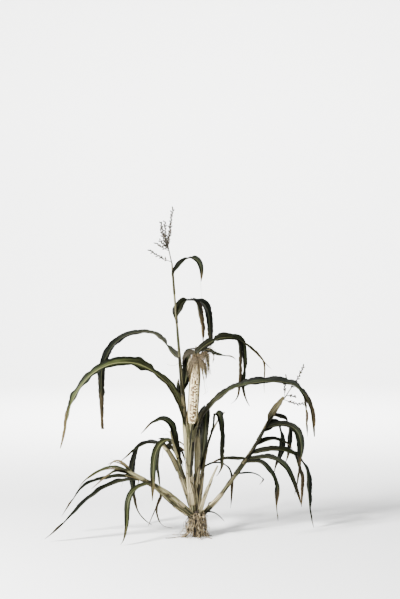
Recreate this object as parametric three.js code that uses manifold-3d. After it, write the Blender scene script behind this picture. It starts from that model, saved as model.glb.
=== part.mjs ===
// Flowering maize plant with its side shoots, dug up and standing on its root clump.
// Millimetres, +Z up, +X to the right, -Y to the front.
// The origin is the middle of the root clump's flat foot.
import * as THREE from 'three';
import Module from 'manifold-3d';

const wasm = await Module();
wasm.setup();

// Clearance between two pieces that touch each other on the plant
const GAP = 0.35;
// Edges shorter than this, left where two shapes are joined, are closed up
const TIDY = 0.03;

// Every stem and blade follows a centre line that is worked out from a few sizes:
// length; rise, its slope above level; toward, its heading in plan, 0 to the right and 90 to the back;
// and turn, how far a blade is turned about its own rib. Angles are in degrees.
// A list is read as values spread evenly from the foot to the tip.
const ROOT_CLUMP = { height: 88, radius: [25, 24, 22, 20, 17, 11], sides: 10 };
// Roots that ring the clump: from sets how high they start, spare their length beyond that height,
// and swing how far their heading may wander
const ROOT_RINGS = [
  {
    count: 14, from: [34, 76], spare: [24, 38], swing: [-20, 20], start: 0, seed: 1,
    radius: [2.6, 1.5], rise: [5, -25, -62, -80, -85], sides: 5, steps: 5,
  },
  {
    count: 7, from: [16, 38], spare: [42, 56], swing: [-25, 25], start: 60, seed: 121,
    radius: [1.6, 0.9], rise: [-5, -20, -50, -20], sides: 4, steps: 4,
  },
];
const FLOOR_ROOT_STEPS = 7;
const FLOOR_ROOTS = [
  { height: 34, length: 112, radius: [2.6, 1.2], rise: [-30, -50, -10, -12, 0], toward: [-150, -160, -163] },
  { height: 60, length: 92, radius: [2.4, 1.4], rise: [10, -75, -85], toward: [-50, -30] },
  { height: 30, length: 92, radius: [1.8, 1.0], rise: [-20, -35, -10, 0], toward: [150, 172] },
  { height: 32, length: 66, radius: [1.8, 1.0], rise: [-15, -40, -15, 0], toward: [-95, -75] },
  { height: 28, length: 60, radius: [1.6, 1.0], rise: [-20, -35, -5, 0], toward: [60, 85] },
];

const STEMS = {
  main_stalk: {
    foot: [-12, 0, 62], length: 870, rise: [85], toward: [185, 205], sides: 10,
    radius: [9.5, 10.5, 10.5, 10, 9.2, 7.2, 6.2, 5, 4.4, 3.6, 3.2, 2.8, 2.2],
  },
  second_stalk: {
    foot: [1, 8, 74], length: 290, rise: [85, 80], toward: [75, 65], sides: 8,
    radius: [9, 9, 9.5, 11, 11.5, 8],
  },
  third_stalk: {
    foot: [4, 12, 74], length: 368, rise: [75, 75, 70, 45], toward: [70, 65, 40, 20], sides: 7,
    radius: [6, 6, 6, 5.2, 4, 3.2, 2.6],
  },
  pale_shoot: {
    foot: [9, -5, 76], length: 192, rise: [70, 60], toward: [-50, -35], sides: 6,
    radius: [5.5, 5, 4.6, 4.2, 3],
  },
  right_tiller: {
    foot: [8, 2, 67], length: 488, rise: [35, 50, 50, 60, 55], toward: [20, 25, 15], sides: 8,
    radius: [6.5, 7, 7, 6.8, 6.6, 6, 5, 4, 2.6],
  },
  upper_left_tiller: {
    foot: [-11, 2, 76], length: 268, rise: [70, 70, 65, 60, 55, 40], toward: [145, 155], sides: 8,
    radius: [8, 9, 9, 8.4, 7.4, 6, 4.4],
  },
  upper_left_shoot: {
    foot: [-20, 8, 130], length: 240, rise: [70, 72, 76], toward: [172, 190, 200], sides: 6,
    radius: [5, 5.4, 5, 4.2, 2.6],
  },
  lower_left_tiller: {
    foot: [-10, -7, 66], length: 292, rise: [45, 40, 30, 30], toward: [-165, -170], sides: 8,
    radius: [9, 10, 9.6, 8, 7, 5.4, 3.6],
  },
  lower_left_shoot: {
    foot: [-16, -16, 66], length: 190, rise: [40, 35, 45, 40], toward: [-160, -165], sides: 6,
    radius: [5.5, 6, 5.6, 5, 3.4],
  },
  ear_shank: {
    foot: [-24, -2, 155], length: 232, rise: [85], toward: [-100, -70, -40], sides: 8,
    radius: [6, 8.4, 9, 9, 9],
  },
};

// The ear goes on up the line of its shank
const EAR = {
  length: 204, rise: [85], toward: [-40], rows: 12, kernelRings: 28,
  radius: [11, 15.2, 16, 16, 15.8, 15.2, 14, 11, 5], rowGroove: 1, ringGroove: 0.6,
};
const HUSK = {
  below: 62, above: 34, steps: 10, columns: 8, wall: 1.6,
  radius: [11, 15, 19.6, 21.5, 22, 22, 21.5, 20.5, 18, 12],
  opening: [40, 90, 120, 130, 135, 140, 130, 120, 100],
  openTo: -96,
};
const HUSK_TIPS = [
  { back: 20, length: 62, width: 20, rise: [80, 20, -50, -80], toward: [190, 175], turn: [25] },
  { back: 14, length: 64, width: 30, rise: [75, 20, -20, -45], toward: [-20, -15], turn: [50] },
  { back: 34, length: 92, width: 14, rise: [60, -20, -80, -80, -75], toward: [-55, -60, 100], turn: [10] },
  { back: 24, length: 52, width: 17, rise: [85, 80, 60], toward: [90], turn: [0] },
];
const SILK = {
  aboveEar: 8, tuft: { length: 16, rise: [88], toward: [0], radius: [4, 5, 3], steps: 2 },
  strands: 5, strandsUp: 10, radius: [1.4, 0.8], length: [62, 112], rise: [70, -10, -72, -84, -80],
  spread: [-110, -20], hangTo: 10,
};

// Outline of a blade: its share of the full width, from the root to the tip
const BLADE_OUTLINE = [0.62, 0.86, 1, 1, 0.95, 0.85, 0.68, 0.42, 0.05];
const BLADE_CUP = 0.22;
const BLADE_THICKNESS = 0.0105;
const BLADE_THINNEST = 1.2;
const BLADE_STEP = 30;
const BLADE_TWIST_STEP = 16;
// How far up its sheath the outer blade of a leaf starts
const BLADE_FROM = 0.985;

// Leaves of each stem: at is how far up the stem's line the leaf leaves it. A leaf that arches round a wide
// gap is split at bend, a share of its blade's length, and its tip is a piece of its own.
const LEAVES = {
  main_stalk: [
    {
      at: 302, length: 245, width: 26, rise: [80, 75, 62, 44, 36], toward: [-140, -170], turn: [-20, -35],
      outline: [0.5, 0.8, 1, 1, 1],
      blade: {
        length: 496, width: 50, rise: [36, 9, -20, -46, -66, -82, -72], toward: [-170, -165, -155],
        turn: [-32, -25, -10], bend: 0.3,
      },
    },
    {
      at: 536, length: 624, width: 30, rise: [50, 50, 0, -28, -60, -86, -88, -82], toward: [145, 160, 60],
      turn: [10, 22, 15, 0], bend: 0.38,
    },
    { at: 426, length: 230, width: 30, rise: [60, 60, 55, -50], toward: [65, 90, 40], turn: [0] },
    { at: 404, length: 72, width: 13, rise: [50, 80, 90], toward: [178], turn: [40] },
    {
      at: 682, length: 322, width: 36, rise: [86, 56, 2, -4, -32, -74, -83, -86], toward: [50, 45, 45, 60, 65],
      turn: [0], outline: [0.7, 0.8, 0.9, 1, 0.8, 0.5, 0.42, 0.36, 0.08], bend: 0.33,
      strips: [{ at: 112, length: 176, width: 16, rise: [-12, -55, -78, -84], toward: [50, 70, 90] }],
    },
    {
      at: 826, length: 220, width: 19, rise: [55, 50, 35, 0, -50, -75, -75], toward: [-55, -40, -35, -130],
      turn: [0],
    },
  ],
  second_stalk: [
    {
      at: 254, length: 215, width: 26, rise: [75, 65, 45, 40], toward: [-60, -35, -20, -15], turn: [10, 25],
      outline: [0.5, 0.8, 1, 1],
      blade: {
        length: 428, width: 38, rise: [24, 12, 4, -14, -52, -76, -88], toward: [-15, -10, -40, -70],
        turn: [30, 25, 5], bend: 0.5,
        strips: [{ at: 256, length: 172, width: 15, rise: [-50, -80, -85], toward: [35, 95], turn: [20] }],
      },
    },
    {
      at: 118, length: 596, width: 28, rise: [59, 59, 59, 52, -62, -70, -80, -85], toward: [80, 85, 90, 125],
      turn: [0], bend: 0.5,
    },
  ],
  third_stalk: [
    {
      at: 208, length: 404, width: 24, rise: [70, 70, 68, 62, -70, -80, -76, -78, -80],
      toward: [-50, -40, -110, -160], turn: [15],
    },
    { at: 148, length: 290, width: 14, rise: [40, -5, -60, -75, -80], toward: [45, 30, 85, 130], turn: [15] },
  ],
  right_tiller: [
    { at: 358, length: 288, width: 24, rise: [22, 42, -72, -82, -76, -76], toward: [15, 30, 110, 160], turn: [20] },
    { at: 428, length: 225, width: 15, rise: [5, -60, -78, -82, -55], toward: [45, 66, 82, 130], turn: [20] },
    {
      at: 372, length: 348, width: 28, rise: [33, 6, -52, -78, -84, -82, -78], toward: [-15, -30, -100, -172, -168],
      turn: [20],
    },
    { at: 300, length: 168, width: 24, rise: [45, 25, -5, -25, -65], toward: [25, 10, 5], turn: [20] },
    {
      at: 268, length: 463, width: 28, rise: [30, 2, -36, -80, -84, -75], toward: [5, 5, 70, 10], turn: [25],
      strips: [{ at: 167, length: 205, width: 16, rise: [-60, -75, -80], toward: [20, 60, 115], turn: [0] }],
    },
    { at: 250, length: 302, width: 27, rise: [15, 10, -28, -62, -70, -70], toward: [-30, -38], turn: [25] },
    {
      at: 230, length: 236, width: 24, rise: [20, -42, -60, -80], toward: [-30, -40, -35, -145], turn: [20],
    },
    { at: 185, length: 160, width: 12, rise: [15, 0, -35, -45], toward: [30, 25, 25, 165], turn: [20] },
    { at: 254, length: 132, width: 10, rise: [10, 12, -8, -25], toward: [-155, -160], turn: [-20] },
    { at: 400, length: 112, width: 42, rise: [62, 58, 50], toward: [30, -20], turn: [75], outline: [0.5, 1, 1, 0.7, 0.2] },
    { at: 10, length: 92, width: 9, rise: [35, 5, -40, -50], toward: [-15, -5], turn: [20] },
  ],
  upper_left_shoot: [
    {
      at: 120, length: 276, width: 24, rise: [80, 78, 76, 72, 45, -25, -50, -50], toward: [165, 160, 165, 170],
      turn: [-10],
    },
    { at: 196, length: 292, width: 24, rise: [40, -42, -62, -78, -88], toward: [-150, -105, -75], turn: [-20, 0] },
  ],
  upper_left_tiller: [
    { at: 262, length: 172, width: 14, rise: [12, 6, -35, -40, -35], toward: [-170, -160], turn: [-25] },
    {
      at: 250, length: 448, width: 28, rise: [32, 5, -62, -66, -78, -80, -58, -30], toward: [150, 145, 70, 20, 5],
      turn: [0], bend: 0.22,
    },
    { at: 256, length: 195, width: 12, rise: [-35, -65, -70, -75, -70], toward: [150, 100, 70, 45], turn: [0] },
    { at: 236, length: 90, width: 18, rise: [60, 20, -50, -80], toward: [60, 20], turn: [20] },
  ],
  lower_left_tiller: [
    {
      at: 150, length: 303, width: 20, rise: [46, 26, -20, -35, -65, -75, -80, -80, -30],
      toward: [-155, -145, -95, -165], turn: [-15],
    },
    { at: 196, length: 375, width: 20, rise: [25, 0, 0, -15, -15, -50, -55, -55], toward: [165, 170], turn: [-28] },
    { at: 268, length: 205, width: 14, rise: [30, 20, -25, -30, -60], toward: [-160, -165], turn: [-25] },
    { at: 208, length: 407, width: 22, rise: [10, -10, -35, -45, -45, -35], toward: [-170, -175], turn: [-30, -15] },
    { at: 250, length: 176, width: 14, rise: [18, 12, 10, -35, -40, -40, -40], toward: [172, 176], turn: [-25] },
    { at: 260, length: 115, width: 14, rise: [35, 35, 40, 20, -30, -55], toward: [145, 150, 170], turn: [-25] },
    { at: 142, length: 150, width: 12, rise: [-50, -60, -65], toward: [110, 140, 160], turn: [0] },
    { at: 134, length: 256, width: 8, rise: [-20, -40, -55, -46, 0], toward: [115, 110, 70, 25], turn: [0] },
  ],
  ear_shank: [
    {
      past: 236, length: 414, width: 32, rise: [50, 26, 4, -68, -85, -75, -70, -62], toward: [15, 15, 60, 60, -10],
      turn: [25, 25, 10], outline: [0.7, 1, 1, 1, 0.5, 0.45, 0.5, 0.3, 0.06], bend: 0.34,
      strips: [
        { at: 150, length: 270, width: 22, rise: [-15, -70, -75, -75, -65, -45], toward: [5, 90, 155, 175] },
        { at: 156, length: 250, width: 7, rise: [-20, -30, -55, -86, -86], toward: [10, 10, 30, 120, 45] },
      ],
    },
    { past: 226, length: 150, width: 13, rise: [60, 10, -22, -5, -40], toward: [-30, -20], turn: [20] },
  ],
};

const TASSELS = {
  main_tassel: {
    stem: 'main_stalk', length: 188, rise: [77, 78, 82, 83, 78], toward: [185, 180, 5, 0, -10], radius: [2.2, 0.8],
    branches: [
      { at: 50, length: 92, rise: [65, 75], toward: [-155, -130] },
      { at: 50, length: 102, rise: [75], toward: [140, 55] },
      { at: 46, length: 80, rise: [62, 72], toward: [170, 140] },
      { at: 48, length: 44, rise: [40, 50], toward: [-160] },
      { at: 44, length: 52, rise: [25, 35], toward: [160] },
      { at: 6, length: 84, rise: [20, 35], toward: [-170] },
    ],
  },
  right_tassel: {
    stem: 'right_tiller', length: 155, rise: [35, 60, 50, 65, 65], toward: [5, 10], radius: [2.2, 0.8],
    branches: [
      { at: 18, length: 78, rise: [-20, -15, 15], toward: [-15] },
      { at: 34, length: 42, rise: [0, -15], toward: [35] },
      { at: 26, length: 78, rise: [80, 75], toward: [-115, -50] },
    ],
  },
};
const SPIKELET = { spacing: 14, length: 10, radius: [0.5, 1.9, 0.4], splay: 30 };
const TASSEL_BRANCH_RADIUS = [1.5, 0.8];
const TASSEL_BARE_SHARE = { rachis: 0.42, branch: 0.2 };

const COLOURS = {
  stalk: 0x8c9464,
  pale: 0xb9ad84,
  leaf: 0x3f4a2a,
  dryLeaf: 0x5b5238,
  husk: 0xc9bd95,
  kernel: 0xd8c48c,
  silk: 0x6a543a,
  root: 0x9a8462,
  tassel: 0x8a7a55,
};

// Value read from a list whose entries are spread evenly from 0 to 1
function spread(list, t) {
  const place = Math.min(Math.max(t, 0), 1) * (list.length - 1);
  const low = Math.min(Math.floor(place), Math.max(list.length - 2, 0));
  const high = Math.min(low + 1, list.length - 1);
  return THREE.MathUtils.lerp(list[low], list[high], place - low);
}

// Unit vector at a slope and a plan heading
function heading(rise, toward) {
  const slope = THREE.MathUtils.degToRad(rise);
  const plan = THREE.MathUtils.degToRad(toward);
  return new THREE.Vector3(
    Math.cos(slope) * Math.cos(plan), Math.cos(slope) * Math.sin(plan), Math.sin(slope));
}

// Centre line as a function of the share t of its length
const LINE_STEPS = 120;
function centreLine({ foot, length, rise, toward, turn = [0] }) {
  const points = [foot.clone()];
  for (let i = 0; i < LINE_STEPS; i += 1) {
    const t = (i + 0.5) / LINE_STEPS;
    const ahead = heading(spread(rise, t), spread(toward, t));
    points.push(points[i].clone().addScaledVector(ahead, length / LINE_STEPS));
  }
  return (t) => {
    const place = t * LINE_STEPS;
    const low = Math.min(Math.floor(place), LINE_STEPS - 1);
    const point = points[low].clone().lerp(points[low + 1], place - low);
    const along = heading(spread(rise, t), spread(toward, t));
    const side = heading(0, spread(toward, t) + 90);
    side.applyAxisAngle(along, THREE.MathUtils.degToRad(spread(turn, t)));
    const face = along.clone().cross(side);
    return { point, along, side, face };
  };
}

// Point beside a station of a centre line
function beside({ point, side, face }, across, up) {
  return point.clone().addScaledVector(side, across).addScaledVector(face, up);
}

// Solid from points and the corner numbers of its triangles
function solidFrom(points, corners) {
  const vertProperties = new Float32Array(points.flatMap((p) => [p.x, p.y, p.z]));
  const triVerts = new Uint32Array(corners);
  return new wasm.Manifold(new wasm.Mesh({ numProp: 3, vertProperties, triVerts }));
}

// Solid over a row of rings that turn left about the way ahead, with a fan over each end. On a thin one
// the underside is cut into triangles along the same lines as the top, so the two stay parallel in a twist,
// and the fans start from the middle of its rib, which is every second corner of the ring.
function skin(rings, thin = false) {
  const sides = rings[0].length;
  const points = rings.flat();
  const corners = [];
  for (let r = 0; r + 1 < rings.length; r += 1) {
    for (let k = 0; k < sides; k += 1) {
      const a = r * sides + k;
      const b = r * sides + ((k + 1) % sides);
      if (thin && k >= sides / 2) {
        corners.push(a, b, a + sides, b, b + sides, a + sides);
      } else {
        corners.push(a, b, b + sides, a, b + sides, a + sides);
      }
    }
  }
  for (const [ring, flip] of [[0, true], [rings.length - 1, false]]) {
    const inner = rings[ring].filter((_, k) => !thin || k % 2);
    const middle = inner.reduce((sum, p) => sum.add(p), new THREE.Vector3()).divideScalar(inner.length);
    const centre = points.push(middle) - 1;
    for (let k = 0; k < sides; k += 1) {
      const a = ring * sides + k;
      const b = ring * sides + ((k + 1) % sides);
      corners.push(...(flip ? [centre, b, a] : [centre, a, b]));
    }
  }
  return solidFrom(points, corners);
}

// Tapering round limb
function limb(spec, extra = 0) {
  const line = centreLine(spec);
  const { radius, sides = 5 } = spec;
  const steps = spec.steps ?? Math.max(radius.length - 1, Math.round(spec.length / 45), 3);
  const rings = [];
  for (let i = 0; i <= steps; i += 1) {
    const t = i / steps;
    const station = line(t);
    const r = spread(radius, t) + extra / Math.cos(Math.PI / sides);
    const stretch = t === 0 ? -extra : t === 1 ? extra : 0;
    station.point.addScaledVector(station.along, stretch);
    rings.push(Array.from({ length: sides }, (_, k) => {
      const angle = (k / sides) * 2 * Math.PI;
      return beside(station, r * Math.cos(angle), r * Math.sin(angle));
    }));
  }
  return skin(rings);
}

// Blade with a thick rib and two thin edges that stand up from it, between two shares of its length
function blade(spec, extra = 0, from = 0, to = 1) {
  const line = centreLine(spec);
  const twists = spec.toward.slice(1).map((way, i) => Math.abs(way - spec.toward[i]) * (spec.toward.length - 1));
  const perLeaf = Math.max(spec.length / BLADE_STEP, ...twists.map((twist) => twist / BLADE_TWIST_STEP));
  const steps = Math.max(6, Math.round((to - from) * perLeaf));
  const outline = spec.outline ?? BLADE_OUTLINE;
  const rib = Math.max(spec.length * BLADE_THICKNESS, BLADE_THINNEST) / 2;
  const rings = [];
  for (let i = 0; i <= steps; i += 1) {
    const t = THREE.MathUtils.lerp(from, to, i / steps);
    const station = line(t);
    const half = (spec.width / 2) * spread(outline, t) + 2 * extra;
    const thin = Math.min(1, half / rib) * rib + extra;
    const cup = (half - 2 * extra) * BLADE_CUP;
    rings.push([
      beside(station, half, cup), beside(station, 0, thin), beside(station, -half, cup), beside(station, 0, -thin),
    ]);
  }
  return skin(rings, true);
}

// Pieces of a leaf: its blade with the outer blade beyond a sheath and the torn strips, and its tip
function leaf(spec, extra = 0) {
  const line = centreLine(spec);
  if (spec.blade) {
    const [first, ...tip] = leaf({ ...spec.blade, foot: line(BLADE_FROM).point }, extra);
    return [first.add(blade(spec, extra)), ...tip];
  }
  const { bend = 1 } = spec;
  const pieces = [blade(spec, extra, 0, bend)];
  if (bend < 1) {
    pieces.push(blade(spec, extra, bend + GAP / spec.length, 1));
  }
  for (const strip of spec.strips ?? []) {
    const t = strip.at / spec.length;
    const grownOn = t > bend ? 1 : 0;
    pieces[grownOn] = pieces[grownOn].add(blade({ ...strip, foot: line(t).point }, extra));
  }
  return pieces;
}

// Half-open wrapping sheet round a line, open towards one side
function wrap(line, { steps, columns, wall, radius, opening, openTo }, extra = 0) {
  const points = [];
  for (const inset of [-extra, wall + extra]) {
    for (let i = 0; i <= steps; i += 1) {
      const t = i / steps;
      const { point } = line(t);
      const slack = THREE.MathUtils.radToDeg(extra / spread(radius, t));
      const half = spread(opening, t) / 2 - slack;
      for (let k = 0; k <= columns; k += 1) {
        const angle = openTo + half + (k / columns) * (360 - 2 * half);
        const out = heading(0, angle).multiplyScalar(spread(radius, t) - inset);
        const rise = i === 0 ? -extra : i === steps ? extra : 0;
        points.push(point.clone().add(out).add(new THREE.Vector3(0, 0, rise)));
      }
    }
  }
  const across = columns + 1;
  const layer = (steps + 1) * across;
  const corners = [];
  const quad = (a, b, c, d) => corners.push(a, b, c, a, c, d);
  for (let i = 0; i < steps; i += 1) {
    for (let k = 0; k < columns; k += 1) {
      const a = i * across + k;
      quad(a, a + 1, a + 1 + across, a + across);
      quad(layer + a, layer + a + across, layer + a + 1 + across, layer + a + 1);
    }
    const first = i * across;
    const last = first + columns;
    quad(first, first + across, layer + first + across, layer + first);
    quad(last, layer + last, layer + last + across, last + across);
  }
  for (let k = 0; k < columns; k += 1) {
    const top = steps * across + k;
    quad(k, layer + k, layer + k + 1, k + 1);
    quad(top, top + 1, layer + top + 1, layer + top);
  }
  return solidFrom(points, corners);
}

const plant = new THREE.Group();
const cleared = [];

// Adds a piece to the plant, clear of every piece that is there already
function place(name, solid, clearance, colour) {
  let rest = solid;
  for (const other of cleared) {
    rest = rest.subtract(other);
  }
  const bodies = rest.decompose().sort((a, b) => b.volume() - a.volume());
  const { vertProperties, triVerts } = bodies[0].simplify(TIDY).getMesh();
  const geometry = new THREE.BufferGeometry();
  geometry.setAttribute('position', new THREE.BufferAttribute(new Float32Array(vertProperties), 3));
  geometry.setIndex([...triVerts]);
  const material = new THREE.MeshStandardMaterial({ color: colour, roughness: 0.75, metalness: 0 });
  const mesh = new THREE.Mesh(geometry, material);
  mesh.name = name;
  plant.add(mesh);
  cleared.push(clearance.add(solid));
}

// Number between the two values of a range, picked by a whole number and the same on every run
function scatter(range, seed) {
  const wave = Math.sin(seed * 12.9898) * 43758.5453;
  return THREE.MathUtils.lerp(range[0], range[1], wave - Math.floor(wave));
}

// Root clump: a core with rings of roots round it and a few along the floor, all cut level with it
const GOLDEN_ANGLE = 137.5;
function rootClump(extra = 0) {
  const upright = { rise: [90], toward: [0], foot: new THREE.Vector3(), length: ROOT_CLUMP.height };
  let solid = limb({ ...ROOT_CLUMP, ...upright, steps: ROOT_CLUMP.radius.length - 1 }, extra);
  for (const ring of ROOT_RINGS) {
    for (let i = 0; i < ring.count; i += 1) {
      const height = scatter(ring.from, ring.seed + i);
      const way = ring.start + i * GOLDEN_ANGLE;
      solid = solid.add(limb({
        ...ring, foot: new THREE.Vector3(0, 0, height),
        length: height + scatter(ring.spare, ring.seed + i + 40),
        toward: [way, way + scatter(ring.swing, ring.seed + i + 80)],
      }, extra));
    }
  }
  for (const root of FLOOR_ROOTS) {
    const foot = new THREE.Vector3(0, 0, root.height);
    solid = solid.add(limb({ ...root, foot, steps: FLOOR_ROOT_STEPS }, extra));
  }
  return solid.trimByPlane([0, 0, 1], 0);
}
place('root_clump', rootClump(), rootClump(GAP), COLOURS.root);

// Stems, thickest first
const lines = {};
for (const [name, stem] of Object.entries(STEMS)) {
  const spec = { ...stem, foot: new THREE.Vector3(...stem.foot) };
  lines[name] = { spec, line: centreLine(spec) };
  place(name, limb(spec), limb(spec, GAP), name.startsWith('main') ? COLOURS.stalk : COLOURS.pale);
}

// Ear, its husk and its silk
const shankTip = lines.ear_shank.line(1).point;
const earSpec = { foot: shankTip.clone().add(new THREE.Vector3(0, 0, GAP)), ...EAR };
const earLine = centreLine(earSpec);
function cob(extra = 0) {
  const rings = [];
  const sides = EAR.rows * 2;
  for (let i = 0; i <= EAR.kernelRings; i += 1) {
    const t = i / EAR.kernelRings;
    const station = earLine(t);
    rings.push(Array.from({ length: sides }, (_, k) => {
      const dip = extra ? 0 : (k % 2) * EAR.rowGroove + (i % 2) * EAR.ringGroove;
      const r = spread(EAR.radius, t) - dip + extra;
      const angle = (k / sides) * 2 * Math.PI;
      return beside(station, r * Math.cos(angle), r * Math.sin(angle));
    }));
  }
  return skin(rings);
}
place('ear', cob(), cob(GAP), COLOURS.kernel);

function silk(extra = 0) {
  const foot = earLine(1).point.clone().add(new THREE.Vector3(0, 0, SILK.aboveEar));
  let solid = limb({ ...SILK.tuft, foot }, extra);
  foot.z += SILK.strandsUp;
  for (let i = 0; i < SILK.strands; i += 1) {
    const outward = THREE.MathUtils.lerp(SILK.spread[0], SILK.spread[1], i / (SILK.strands - 1));
    solid = solid.add(limb({
      foot, length: scatter(SILK.length, i + 300), rise: SILK.rise, toward: [outward, SILK.hangTo],
      radius: SILK.radius, sides: 3, steps: 4,
    }, extra));
  }
  return solid;
}
place('silk', silk(), silk(GAP), COLOURS.silk);

const huskFoot = lines.ear_shank.line(1 - HUSK.below / STEMS.ear_shank.length).point;
const huskSpec = {
  foot: huskFoot, length: HUSK.below + EAR.length + HUSK.above, rise: EAR.rise, toward: EAR.toward,
};
const huskLine = centreLine(huskSpec);
function husk(extra = 0) {
  let solid = wrap(huskLine, HUSK, extra);
  for (const tip of HUSK_TIPS) {
    const foot = huskLine(1 - tip.back / huskSpec.length).point;
    solid = solid.add(blade({ ...tip, foot }, extra));
  }
  return solid;
}
place('ear_husk', husk(), husk(GAP), COLOURS.husk);

// Tassels: a rachis, its branches, and pointed spikelets along them
function tasselArm(spec, bareShare, extra) {
  const steps = Math.round(spec.length / SPIKELET.spacing);
  const line = centreLine(spec);
  let solid = limb({ ...spec, steps }, extra);
  for (let i = Math.ceil(bareShare * steps); i <= steps; i += 1) {
    const { point, along, face } = line(i / steps);
    const outward = face.clone().applyAxisAngle(along, i * THREE.MathUtils.degToRad(GOLDEN_ANGLE));
    const away = along.clone().applyAxisAngle(outward, THREE.MathUtils.degToRad(SPIKELET.splay));
    solid = solid.add(limb({
      foot: point, length: SPIKELET.length, radius: SPIKELET.radius, sides: 3, steps: 2,
      rise: [THREE.MathUtils.radToDeg(Math.asin(away.z))],
      toward: [THREE.MathUtils.radToDeg(Math.atan2(away.y, away.x))],
    }, extra));
  }
  return solid;
}
function tassel(spec, foot, extra = 0) {
  const rachis = { ...spec, foot };
  const line = centreLine(rachis);
  let solid = tasselArm({ ...rachis, sides: 4 }, TASSEL_BARE_SHARE.rachis, extra);
  for (const branch of spec.branches) {
    const branchFoot = line(branch.at / spec.length).point;
    const arm = { ...branch, foot: branchFoot, radius: TASSEL_BRANCH_RADIUS, sides: 3 };
    solid = solid.add(tasselArm(arm, TASSEL_BARE_SHARE.branch, extra));
  }
  return solid;
}
for (const [name, spec] of Object.entries(TASSELS)) {
  const top = lines[spec.stem].line(1);
  const foot = top.point.clone().addScaledVector(top.along, GAP);
  place(name, tassel(spec, foot), tassel(spec, foot, GAP), COLOURS.tassel);
}

// Leaves, numbered on each stem
for (const [stem, leaves] of Object.entries(LEAVES)) {
  const { spec: stemSpec, line } = lines[stem];
  leaves.forEach((spec, i) => {
    const foot = spec.past === undefined
      ? line(spec.at / stemSpec.length).point
      : huskLine((HUSK.below + spec.past) / huskSpec.length).point;
    const leafSpec = { ...spec, foot };
    const colour = spec.length > 200 ? COLOURS.leaf : COLOURS.dryLeaf;
    const clearances = leaf(leafSpec, GAP);
    leaf(leafSpec).forEach((piece, k) => {
      place(`${stem}_leaf_${i + 1}${k ? '_tip' : ''}`, piece, clearances[k], colour);
    });
  });
}

export default plant;
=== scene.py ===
import math

import bmesh
import bpy
from mathutils import Matrix, Quaternion, Vector, kdtree, noise


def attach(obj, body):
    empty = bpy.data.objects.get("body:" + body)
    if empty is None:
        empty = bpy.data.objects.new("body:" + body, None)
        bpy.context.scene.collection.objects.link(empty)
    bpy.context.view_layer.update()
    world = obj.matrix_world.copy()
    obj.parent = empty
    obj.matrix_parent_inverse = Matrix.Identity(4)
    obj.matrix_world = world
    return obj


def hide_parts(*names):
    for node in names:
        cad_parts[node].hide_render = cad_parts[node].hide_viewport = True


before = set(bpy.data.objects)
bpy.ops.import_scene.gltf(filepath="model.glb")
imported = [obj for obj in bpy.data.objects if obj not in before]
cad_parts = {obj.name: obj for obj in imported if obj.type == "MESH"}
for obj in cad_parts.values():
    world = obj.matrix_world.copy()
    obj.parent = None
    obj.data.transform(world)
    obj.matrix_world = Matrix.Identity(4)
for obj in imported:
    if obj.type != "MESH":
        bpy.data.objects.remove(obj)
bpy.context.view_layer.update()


# Stalks and shoots: one tall stalk, two pale ones beside it, and the tillers that lean out from the crown.
# They are pithy stems in the dry bases of old sheaths, with a darker swollen joint where each leaf was
# fixed; the dark band under each joint is deepened with painted shade, and a painted shadow line runs
# beside each sheath edge. Each grows along a line worked out from a length and lists of its rise and its
# heading in plan.
MM = 0.001
WELD = 0.001
LINE_STEPS = 120
SETTLING = 6
THREAD_LUMPS = dict(around=0.5, along=0.16)
STEMS = {
    "main_stalk": dict(
        foot=(-12, 0, 62), length=870, rise=(85,), toward=(185, 205), finish="stalk",
        radius=(9.5, 10.5, 10.5, 10, 9.2, 7.4, 6.4, 5.4, 4.8, 4.2, 3.7, 3.3, 2.8),
        joints=(26, 74, 130, 208, 300, 392, 522, 640, 768)),
    "second_stalk": dict(
        foot=(-1, 8, 74), length=290, rise=(85, 80), toward=(88, 82), finish="sheath",
        radius=(9, 9, 9, 9.5, 9.5, 7), joints=(20, 66, 118, 180, 262)),
    "third_stalk": dict(
        foot=(4, 12, 74), length=368, rise=(75, 75, 70, 45), toward=(70, 65, 40, 20), finish="sheath",
        radius=(6, 6, 6, 5.2, 4, 3.2, 2.6), joints=(30, 92, 148, 208, 290)),
    "pale_shoot": dict(
        foot=(9, -5, 76), length=192, rise=(70, 60), toward=(-50, -35), finish="sheath",
        radius=(5.5, 5, 4.6, 4.2, 3), joints=(24, 80)),
    "right_tiller": dict(
        foot=(8, 2, 67), length=488, rise=(35, 50, 50, 60, 55), toward=(20, 25, 15), finish="stalk",
        skin="green", radius=(6.5, 7, 7, 6.8, 6.6, 6, 5, 4, 2.6),
        joints=(18, 52, 104, 185, 250, 300, 372, 428)),
    "upper_left_tiller": dict(
        foot=(-11, 2, 76), length=268, rise=(70, 70, 65, 60, 55, 40), toward=(145, 155), finish="stalk",
        radius=(8, 9, 9, 8.4, 7.4, 6, 4.4), joints=(22, 70, 132, 200)),
    "upper_left_shoot": dict(
        foot=(-20, 8, 130), length=240, rise=(70, 72, 76), toward=(172, 190, 200), finish="stalk",
        radius=(5, 5.4, 5, 4.2, 2.6), joints=(40, 120, 196)),
    "lower_left_tiller": dict(
        foot=(-10, -7, 66), length=292, rise=(45, 40, 30, 30), toward=(-165, -170), finish="stalk",
        radius=(9, 10, 9.6, 8, 7, 5.4, 3.6), joints=(20, 62, 134, 150, 208, 256)),
    "lower_left_shoot": dict(
        foot=(-16, -16, 66), length=190, rise=(40, 35, 45, 40), toward=(-160, -165), finish="stalk",
        radius=(5.5, 6, 5.6, 5, 3.4), joints=(34, 96, 150)),
    "ear_shank": dict(
        foot=(-24, -2, 155), length=232, rise=(85,), toward=(-100, -70, -40), finish="stalk", skin="green",
        radius=(4, 6.5, 9.5, 12, 12.8, 12.5, 11), joints=(20, 52, 92)),
}
STEM_SIDES = 28
STEM_ROW = 3.2
STEM_RIBS = 14
RIB_DEPTH = 0.22
STEM_LUMPS = dict(size=0.07, around=1.4, along=0.02)
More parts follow.
